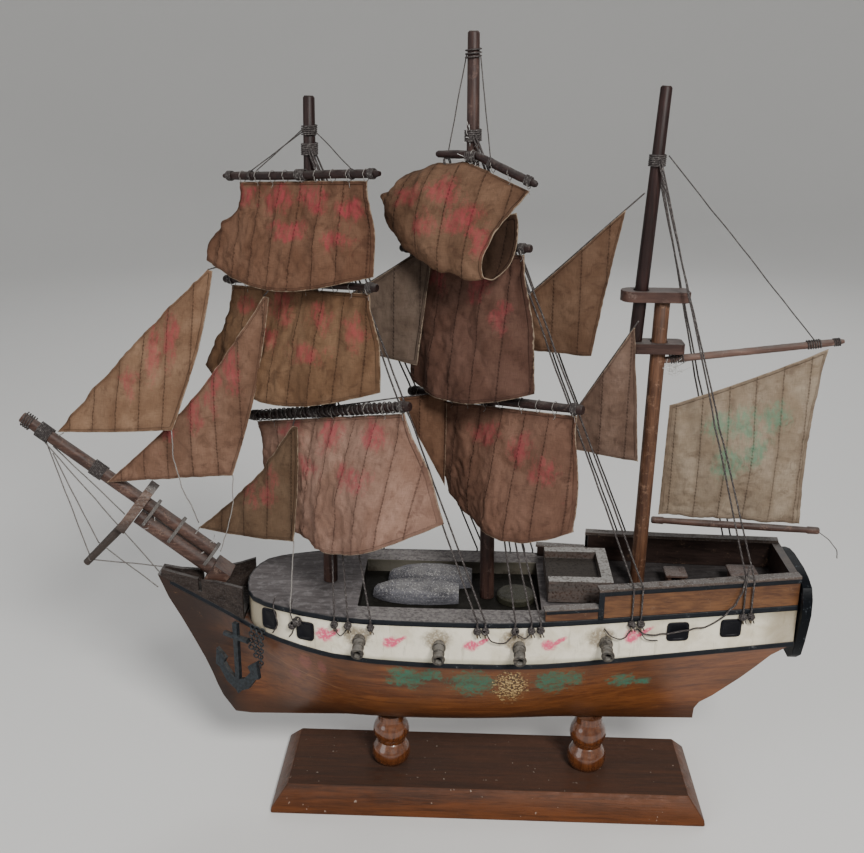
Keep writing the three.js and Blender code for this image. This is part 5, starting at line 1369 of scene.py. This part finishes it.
head_lines = Stock()
for a, b in (
    ((-203, 0.6, 174), (-188, 0.8, 116)), ((-200, -0.6, 169), (-183, -0.8, 125)),
    ((-203, -0.6, 174), (-155, -3, 112)), ((-188, 0, 116), (-155, 2.5, 112)),
    ((-183, -0.5, 125), (-156, -3.2, 104)), ((-200, 0.6, 172), (-170, 0.8, 139)),
):
    head_lines.line(a, b, 0.3, steps=14, stray=0.35)
head_lines.knot((-188, 0, 116.5), 2.4, 0.3, 4)
sheets = Stock()
for path, r in (
    ([(-141, -13.5, 185.6), (-141.5, -12, 172), (-139, -11, 158), (-136, -7, 146), (-135, -2, 137)], 0.28),
    ([(-117, -6.5, 162.4), (-117, -8, 150), (-120, -9, 138), (-124, -9, 126)], 0.25),
    ([(-88.5, -19.5, 136.6), (-88.5, -26, 124), (-89, -30.5, 112), (-89, -30.2, 107.5)], 0.28),
    ([(-135, -1.2, 134), (-137, -1.5, 131), (-138.5, -2, 128.5)], 0.3),
    ([(-194.5, 0, 178.5), (-198, 0, 176.5), (-201, 0, 178)], 0.3),
):
    fine = []
    for a, b in zip(path, path[1:]):
        for k in range(6):
            p = Vector(a).lerp(Vector(b), k / 6)
            fine.append(p + noise.noise_vector(p * 0.2) * 0.5)
    sheets.tube(fine + [Vector(path[-1])], r, 6)
bowsprit_drop = Vector((0, 0, -3.8))
for x, wide in ((-158, 9.5), (-147, 9.5), (-131.5, 8.5)):
    way = (BOOM_HEEL - BOOM_TIP).normalized()
    upright = Vector((-way.z, 0, way.x))
    loops = []
    for k in range(14 * 3 + 1):
        a = 2 * math.pi * k / 14
        loops.append(boom(x) + bowsprit_drop + way * (k * 0.035) + Vector((0, 1, 0)) * math.cos(a) * 4.7
                     + upright * math.sin(a) * wide * 0.86)
    head_lines.tube(loops, 0.26, 6)
sheets.piece("jib_sheets", GREY_THREAD, "ship", "rigging_thread", (), 0)
head_lines.piece("head_rigging", HEAD_THREAD, "ship", "rigging_thread", (), 0)


# ---------------------------------------------------------------- whittled spars
def whittled(name, material, body, ends, radius, replaces, bow=0.6):
    """Hand-cut stick between points, thinner at its ends and never quite round."""
    stock = Stock()
    for a, b in ends:
        a, b = Vector(a), Vector(b)
        steps = 40
        path, radii = [], []
        for i in range(steps + 1):
            t = i / steps
            p = a.lerp(b, t)
            path.append(p + noise.noise_vector(p * 0.03) * bow * math.sin(math.pi * t))
            tip = min(t, 1 - t) * (b - a).length
            radii.append(radius * (0.80 + 0.2 * smooth(0, 9, tip)) * (1 - 0.35 * (1 - smooth(0, 0.9, tip)))
                         * (1 + 0.05 * noise.noise(p * 0.35)))
        stock.tube(path, radii, 18)
    return stock.piece(name, material, body, "spar_wood", replaces, 50)


def masthead_lifts(name, line, z, feet, collar_turns):
    stock = Stock()
    mast_r = TOP_R
    stock.coil(line(z - 1.5), line(z + 2.5), mast_r, collar_turns, 0.3)
    for s, side, double in feet:
        foot = on_yard(name, s) + Vector((0, 0, 1.9))
        start = line(z) + ACROSS * (mast_r + 0.4) * side
        stock.line(start, foot, 0.24, steps=14, stray=0.25)
        if double:
            stock.line(start + Vector((0, 0, 1)), on_yard(name, s - 3 * side) + Vector((0, 0, 1.9)), 0.24, steps=14, stray=0.4)
        stock.coil(on_yard(name, s - 0.6), on_yard(name, s + 0.6), RIGS[name]["r"], 2, 0.26)
    stock.piece(name + "_lifts", BLACK_THREAD, name, "rigging_thread", (), 0)


whittled("fore_topgallant_spar", YARD, "fore_topgallant",
         [(on_yard("fore_topgallant", -44), on_yard("fore_topgallant", 40))], 1.75, ["fore_topgallant_yard"])
whittled("main_topgallant_spar", YARD, "main_topgallant",
         [(on_rig("main_topgallant", -13, 302.6, 2), on_rig("main_topgallant", 5.5, 303, 1.2)),
          (on_rig("main_topgallant", 3, 303.8, 1.2), on_yard("main_topgallant", 33))], 1.75, ["main_topgallant_yard"], 0.3)
masthead_lifts("fore_topgallant", FORE_TOP, 311, ((-28, -1, True), (26, 1, False)), 5)
masthead_lifts("main_topgallant", MAIN_TOP, 341, ((-8, -1, False), (12, 1, False)), 3)
whittled("gaff_spar", BLEACHED, "spanker", [((68.6, 0, 217), (147, 0, 227))], 1.6, ["gaff"], 0.4)
span = Stock()
span.line((67, 0, 303), (135, 0, 226.6), 0.26, steps=30, stray=0.4)
span.coil((131.5, 0, 225.1), (137.5, 0, 225.9), 1.6, 6, 0.28)
span.coil((74, 0, 217.8), (80, 0, 218.6), 1.6, 6, 0.28)
span.coil((142.5, 0, 226.4), (145.5, 0, 226.8), 1.4, 4, 0.26)
span.piece("gaff_span", BLACK_THREAD, "spanker", "rigging_thread", (), 0)


# ---------------------------------------------------------------- yards: lashings, robands
def yard_fittings(name):
    rig = RIGS[name]
    s0, _, s1, _ = rig["yard"]
    lashing = Stock()
    for s in (s1 - 2.5,) if name == "main_topgallant" else (s0 + 2.5, s1 - 2.5):
        inward = 2.6 if s < 0 else -2.6
        lashing.coil(on_yard(name, s), on_yard(name, s + inward), rig["r"] - 0.05, 4.5, 0.27)
    middle = (1, 6) if name == "main_topgallant" else (-2.6, 2.6)
    lashing.coil(on_yard(name, middle[0]), on_yard(name, middle[1]), rig["r"] + 0.05, 6, 0.32)
    if name == "fore_course":
        lashing.coil(on_yard(name, s0 + 5), on_yard(name, s1 - 5), rig["r"] - 0.05, 30, 0.3, 6, 0.4)
    lashing.piece(name + "_lashings", BLACK_THREAD, name, "rigging_thread", (), 0)
    robands = Stock()
    h0, h1 = rig["head"]
    count = max(6, round((h1 - h0) / 9))
    for i in range(count + 1):
        s = lerp(h0 + 1, h1 - 1, i / count) + 1.1 * noise.noise(Vector((i * 1.9, h0, 0.5)))
        if name == "main_topgallant" and s < 3:
            continue
        centre = on_yard(name, s) - Vector((0, 0, 0.55))
        up = Vector((0, 0, 1))
        points = []
        for k in range(17):
            a = 2 * math.pi * k / 16
            out = AHEAD * math.cos(a) * (rig["r"] + 0.2) + up * math.sin(a) * (rig["r"] + 0.75)
            points.append(centre + out + ACROSS * (0.5 * (k / 16 - 0.5)))
        robands.tube(points, 0.17, 6)
        robands.tube([points[12], points[12] + AHEAD * 0.5 - up * 1.0 + ACROSS * 0.4,
                      points[12] + AHEAD * 0.7 - up * 2.2 + ACROSS * (0.8 if i % 2 else -0.5)], 0.13, 5)
    robands.piece(name + "_robands", GREY_THREAD, name, "rigging_thread", (), 0)


for name in RIGS:
    yard_fittings(name)


# ---------------------------------------------------------------- hull trim
trim = Stock()
LONG_XS = spread(-150, STERN_X, 46)
for side in (-1, 1):
    stripe = side_path(LONG_XS, hull_half, side)
    trim.band(stripe, [block_top(x) - 1.2 for x in LONG_XS], [block_top(x) + 1.1 for x in LONG_XS], 0.45)
    stripe = side_path(UPPER_XS, upper_half, side)
    trim.band(stripe, [deck_top(x) - 2.3 for x in UPPER_XS], [deck_top(x) + 0.1 for x in UPPER_XS], 0.45)
    aft = [x for x in spread(STEP_X, STERN_X, 12)]
    stripe = side_path(aft, hull_half, side)
    trim.band(stripe, [deck_top(x) + RAIL_H - 3.0 for x in aft], [deck_top(x) + RAIL_H - 0.8 for x in aft], 0.4)
    low = [x for x in spread(23.3, STEP_X, 5)]
    stripe = side_path(low, hull_half, side)
    trim.band(stripe, [deck_top(x) + STEP_H - 1.8 for x in low], [deck_top(x) + STEP_H - 0.2 for x in low], 0.4)
    post = side_path([STEP_X - 1, STEP_X + 1.4], hull_half, side)
    trim.band(post, [deck_top(STEP_X) - 0.5] * 2, [deck_top(STEP_X) + RAIL_H - 0.9] * 2, 0.5)
trim.piece("side_stripes", TRIM, "ship", "trim_paint", (), 50)

ports = Stock()


def port_lid(stock, x0, x1, z0, z1, side, out=0.7):
    """Rounded square plate let on to the side."""
    cx, cz = (x0 + x1) / 2, (z0 + z1) / 2
    rings = []
    for inset, off in ((0, -0.4), (0, out - 0.25), (0.3, out), (1.1, out), (1.3, out - 0.25)):
        ring = []
        for k in range(24):
            a = 2 * math.pi * k / 24
            c, s = math.cos(a), math.sin(a)
            px = math.copysign(abs(c) ** 0.35, c) * ((x1 - x0) / 2 - inset)
            pz = math.copysign(abs(s) ** 0.35, s) * ((z1 - z0) / 2 - inset)
            (x, y, nx, ny) = side_path([cx + px - 0.5, cx + px, cx + px + 0.5], upper_half, side)[1]
            ring.append((x + nx * off, y + ny * off, cz + pz))
        rings.append(ring)
    points = [p for r in rings for p in r]
    faces = []
    for r in range(len(rings) - 1):
        for k in range(24):
            j = (k + 1) % 24
            face = (r * 24 + k, r * 24 + j, (r + 1) * 24 + j, (r + 1) * 24 + k)
            faces.append(face if side < 0 else tuple(reversed(face)))
    cap = tuple(range((len(rings) - 1) * 24, len(rings) * 24))
    back = tuple(reversed(range(24)))
    faces += [cap, back] if side < 0 else [tuple(reversed(cap)), tuple(reversed(back))]
    stock.add(points, faces)


for side in (-1, 1):
    for x0, x1, z0, z1 in ((77, 87, 96.4, 105.6), (101, 110.5, 97.4, 106.2), (-103, -96, 96, 106), (-86.5, -78.5, 94.5, 103.5)):
        port_lid(ports, x0, x1, z0, z1, side)
ports.piece("port_lids", PORT_BLACK, "ship", "trim_paint", (), 50)

rails = Stock()
for side in (-1, 1):
    rail_xs = spread(STEP_X - 1, STERN_X, 12)
    path = side_path(rail_xs, hull_half, side)
    rails.band(path, [deck_top(x) + RAIL_H - 0.9 for x in rail_xs],
               [deck_top(x) + RAIL_H + 0.5 for x in rail_xs], 0.7, inner=RAIL_T + 0.4)
    low_xs = spread(22.5, STEP_X - 1.2, 5)
    path = side_path(low_xs, hull_half, side)
    rails.band(path, [deck_top(x) + STEP_H - 0.3 for x in low_xs],
               [deck_top(x) + STEP_H + 0.5 for x in low_xs], 0.6, inner=RAIL_T + 0.4)
rails.piece("rail_caps", CAPWOOD, "ship", "dusty_wood", (), 40)


# ---------------------------------------------------------------- turned posts
PROFILE = [
    (0, 0.8), (0.05, 0.93), (0.16, 1), (0.27, 0.97), (0.36, 0.82), (0.42, 0.73), (0.48, 0.77),
    (0.56, 0.9), (0.66, 0.95), (0.76, 0.88), (0.84, 0.76), (0.9, 0.71), (1, 0.7),
]


def turned_post(name, node):
    low, high = low_of(node), high_of(node)
    cx, cy = (low.x + high.x) / 2, (low.y + high.y) / 2
    radius, tall, turns, rows = (high.x - low.x) / 2, high.z - low.z, 72, 64
    points, faces = [], []
    for j in range(rows + 1):
        t = j / rows
        r = radius * table(PROFILE, t)
        soft = (table(PROFILE, max(t - 0.03, 0)) + table(PROFILE, min(t + 0.03, 1))) / 2 * radius
        r = (r + soft) / 2
        r -= 0.28 * math.exp(-((t - 0.42) / 0.012) ** 2) + 0.16 * math.exp(-((t - 0.885) / 0.01) ** 2)
        for k in range(turns):
            a = 2 * math.pi * k / turns
            points.append((cx + r * math.cos(a), cy + r * math.sin(a), low.z + t * tall))
    for j in range(rows):
        for k in range(turns):
            n = (k + 1) % turns
            faces.append((j * turns + k, j * turns + n, (j + 1) * turns + n, (j + 1) * turns + k))
    faces.append(tuple(reversed(range(turns))))
    faces.append(tuple(rows * turns + k for k in range(turns)))
    stock = Stock()
    stock.add(points, faces)
    stock.piece(name, POST, "ship", "varnished_post", [node], 50)


turned_post("fore_post", "fore_pedestal")
turned_post("aft_post", "aft_pedestal")

def cast_gun(name, node, side):
    """Short turned gun with rings and an open bore, muzzle drooping outboard."""
    low, high = low_of(node), high_of(node)
    cx = (low.x + high.x) / 2
    inner = Vector((cx, side * (min(abs(low.y), abs(high.y)) - 1.5), high.z - 2.9))
    muzzle = Vector((cx, side * max(abs(low.y), abs(high.y)), low.z + 2.7))
    way = (muzzle - inner).normalized()
    muzzle -= way * 0.9
    across = Vector((1, 0, 0))
    up = across.cross(way)
    rows = [(0, 2.5), (0.1, 2.6), (0.2, 2.75), (0.22, 3.0), (0.30, 3.0), (0.32, 2.55), (0.55, 2.3), (0.57, 2.6),
            (0.62, 2.6), (0.64, 2.25), (0.80, 2.15), (0.86, 2.7), (0.92, 2.95), (0.98, 2.8), (1.0, 2.5),
            (0.995, 1.6), (0.95, 1.35), (0.7, 1.3)]
    turns = 28
    points, faces = [], []
    for t, r in rows:
        mid = inner.lerp(muzzle, t)
        for k in range(turns):
            a = 2 * math.pi * k / turns
            points.append(mid + (across * math.cos(a) + up * math.sin(a)) * r)
    for j in range(len(rows) - 1):
        for k in range(turns):
            n = (k + 1) % turns
            faces.append((j * turns + k, j * turns + n, (j + 1) * turns + n, (j + 1) * turns + k))
    faces.append(tuple(reversed(range(turns))))
    last = (len(rows) - 1) * turns
    faces.append(tuple(last + k for k in range(turns)))
    stock = Stock()
    stock.add(points, faces)
    bpy_gun = stock.piece(name, GUN, "ship", "gun_metal", [node], 35)
    # painted shade: a black disc deep in the bore stands in for the dark of the hollow
    bore = Stock()
    shade_disc = inner.lerp(muzzle, 0.72)
    bore.tube([shade_disc, shade_disc + way * 0.4], 1.25, 20)
    hole = bore.piece(name + "_bore", PORT_BLACK, "ship", "gun_metal", (), 50)
    return bpy_gun, hole


for side, label in ((-1, "port"), (1, "starboard")):
    finish_with(BOATS, label + "_boat", bevel=0.25)
    for k in range(1, 5):
        cast_gun("%s_cast_gun_%d" % (label, k), "%s_gun_%d" % (label, k), side)


# ---------------------------------------------------------------- deck furniture, chains, loose threads
benches = Stock()
for x0, x1, y0, y1, tall in ((80, 90, -2, 8, 6), (109, 122, -4, 8, 6.5)):
    floor_z = deck_top((x0 + x1) / 2) + 0.2
    benches.slab((x0, y0, floor_z + tall - 1.6), (x1 - x0, y1 - y0, 1.6), 0, 0.4)
    benches.slab((x0 + 1, y0 + 1, floor_z), (1.8, y1 - y0 - 2, tall - 1.5), 0, 0.3)
    benches.slab((x1 - 2.8, y0 + 1, floor_z), (1.8, y1 - y0 - 2, tall - 1.5), 0, 0.3)
    benches.slab((x0 + 2.6, y1 - 3, floor_z + 0.5), (x1 - x0 - 5.2, 1.4, tall - 2.2), 0, 0.3)
benches.piece("quarterdeck_benches", BENCH, "ship", "dusty_wood", (), 40)

chains = Stock()
for side in (-1, 1):
    def hull_side(x, z, out=1.0):
        share = smooth(40, 92, z)
        return Vector((x, side * (hull_half(x) * lerp(0.5, 1.0, share) + out), z))
    for x, bottom in ((-103.5, 71), (-106, 76), (-108.6, 79)):
        count = int((94 - bottom) / 1.9)
        for k in range(count):
            z = 94 - k * 1.9
            sway = 0.8 * noise.noise(Vector((x, z * 0.3, side)))
            axis = (1, 0.2, 0) if k % 2 else (0.2, 1, 0)
            chains.ring(hull_side(x + sway - (94 - z) * 0.12, z), axis, 1.15, 0.34, 12, 6)
chains.piece("anchor_chains", IRON, "ship", "anchor_iron", (), 0)

loose = Stock()


def loose_run(points, radius=0.3, wander=0.5):
    """Thread through points on a smooth line."""
    pts = [Vector(p) for p in points]
    pts = [pts[0]] + pts + [pts[-1]]
    path = []
    for i in range(1, len(pts) - 2):
        p0, p1, p2, p3 = pts[i - 1:i + 3]
        for k in range(8):
            t = k / 8
            q = (p1 * 2 + (p2 - p0) * t + (p0 * 2 - p1 * 5 + p2 * 4 - p3) * t * t
                 + (p1 * 3 - p0 - p2 * 3 + p3) * t ** 3) * 0.5
            path.append(q + noise.noise_vector(q * 0.25) * wander * (1 if i > 1 or k else 0))
    path.append(pts[-1])
    loose.tube(path, radius, 6)


def off_side(x, z, out=1.2, side=-1):
    return Vector((x, side * (upper_half(x) + out), z))


loose_run([off_side(63, 103.5), off_side(70, 100.5), off_side(82, 101.5), off_side(95, 104), off_side(104, 111, 1.6),
           off_side(109, 121, 1.4), off_side(111, 133, 1.2)], 0.42)
loose_run([off_side(10, 104), off_side(6, 99.5, 1.8), off_side(0, 100, 1.8), off_side(-2.5, 103.5)], 0.32)
loose_run([off_side(17, 103.5), off_side(14, 101, 1.6), off_side(11.5, 103, 1.5)], 0.3)
loose_run([off_side(61, 103), off_side(57, 99.5, 1.8), off_side(52, 101, 1.8), off_side(49, 104.5)], 0.32)
loose_run([off_side(65, 103), off_side(68, 98.5, 1.8), off_side(73, 97.5, 1.5)], 0.3)
loose_run([off_side(-63, 103.2), off_side(-66.5, 100, 1.6), off_side(-69, 103)], 0.3)
loose_run([(146, 0, 139), (150.5, -1.5, 136), (155, -2, 131), (156.5, -1, 126)], 0.22)
for x in (-88, -96):
    loose_run([off_side(x, 113.5, 0.6), off_side(x - 1, 107, 1.3), off_side(x + 0.5, 100, 1.2), off_side(x - 2, 95, 1.2)], 0.32)
loose.knot(off_side(-86, 103.5, 1.2), 3.0, 0.42, 11)
loose.knot(off_side(-88.5, 101, 1.2), 2.4, 0.4, 12)
loose.piece("loose_threads", BLACK_THREAD, "ship", "rigging_thread", (), 0)

webs = Stock()


def cobweb(centre, spread_by, strands, seed):
    """Dusty fibres strung about a point."""
    centre = Vector(centre)
    for k in range(strands):
        r = noise.noise_vector(Vector((seed, k * 1.37, 0.2))) * 1.8
        q = noise.noise_vector(Vector((seed + 5, k * 1.91, 4.2))) * 1.8
        a = centre + Vector([r[i] * spread_by[i] for i in range(3)])
        b = centre + Vector([q[i] * spread_by[i] for i in range(3)])
        webs.line(a, b, 0.09 + 0.05 * abs(r.x), sag=1.0, steps=8, sides=5, stray=1.2)


cobweb(MAIN_TOP(310) + AHEAD * 2.6, (3, 2, 5), 12, 1)
cobweb((-13.5, -8, 301), (8, 4, 2.5), 8, 2)
cobweb((76, -1, 215.5), (7, 2.5, 4), 18, 3)
cobweb((-160, -2, 137), (4, 3, 5), 8, 6)
cobweb((-132, 0, 124), (4, 5, 5), 10, 7)
cobweb((-74, -4, 207), (5, 3, 3), 6, 8)
webs.piece("cobwebs", WEB, "ship", "rigging_thread", (), 0)


# ---------------------------------------------------------------- floor and light
def backdrop():
    """Round floor that sweeps up to a wall on every side."""
    profile = [(0.0, 0.0), (0.5, 0.0), (1.5, 0.0)]
    profile += [(1.5 + 0.9 * math.sin(a), 0.9 - 0.9 * math.cos(a)) for a in [math.pi / 2 * k / 10 for k in range(1, 11)]]
    profile += [(2.4, 1.6)]
    turns = 64
    points = [(0, 0, -0.0002)]
    for r, z in profile[1:]:
        points += [(r * math.cos(2 * math.pi * k / turns), r * math.sin(2 * math.pi * k / turns), z - 0.0002) for k in range(turns)]
    faces = [(0, 1 + k, 1 + (k + 1) % turns) for k in range(turns)]
    for j in range(len(profile) - 2):
        for k in range(turns):
            n = (k + 1) % turns
            faces.append((1 + j * turns + k, 1 + (j + 1) * turns + k, 1 + (j + 1) * turns + n, 1 + j * turns + n))
    mesh = bpy.data.meshes.new("floor")
    mesh.from_pydata(points, [], faces)
    mesh.shade_smooth()
    material, net, shader = new_material("floor paper", Roughness=0.95)
    net.put(shader["Base Color"], net.mix(net.cloud(net.place(), 4, 2), (0.72, 0.715, 0.70), (0.74, 0.735, 0.72)))
    mesh.materials.append(material)
    obj = bpy.data.objects.new("floor", mesh)
    bpy.context.scene.collection.objects.link(obj)
    obj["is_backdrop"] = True


backdrop()


def soft_light(name, place, aim, power, size, colour=(1, 1, 1)):
    data = bpy.data.lights.new(name, "AREA")
    data.shape = "DISK"
    data.size, data.energy, data.color = size, power, colour
    lamp = bpy.data.objects.new(name, data)
    lamp.location = place
    lamp.rotation_euler = (Vector(aim) - Vector(place)).to_track_quat("-Z", "Y").to_euler()
    bpy.context.scene.collection.objects.link(lamp)


soft_light("key", (0.4, -0.95, 1.0), (0, 0, 0.17), 18, 0.4, (1, 0.985, 0.955))
soft_light("fill", (-0.95, -0.6, 0.55), (0, 0, 0.15), 3.5, 0.8, (0.97, 0.985, 1))
soft_light("back", (0.2, 1.1, 0.95), (0, 0, 0.15), 4, 0.7)
world = bpy.data.worlds.new("room")
world.use_nodes = True
world.node_tree.nodes["Background"].inputs[0].default_value = (0.93, 0.94, 0.96, 1)
world.node_tree.nodes["Background"].inputs[1].default_value = 0.32
bpy.context.scene.world = world

low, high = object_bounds()
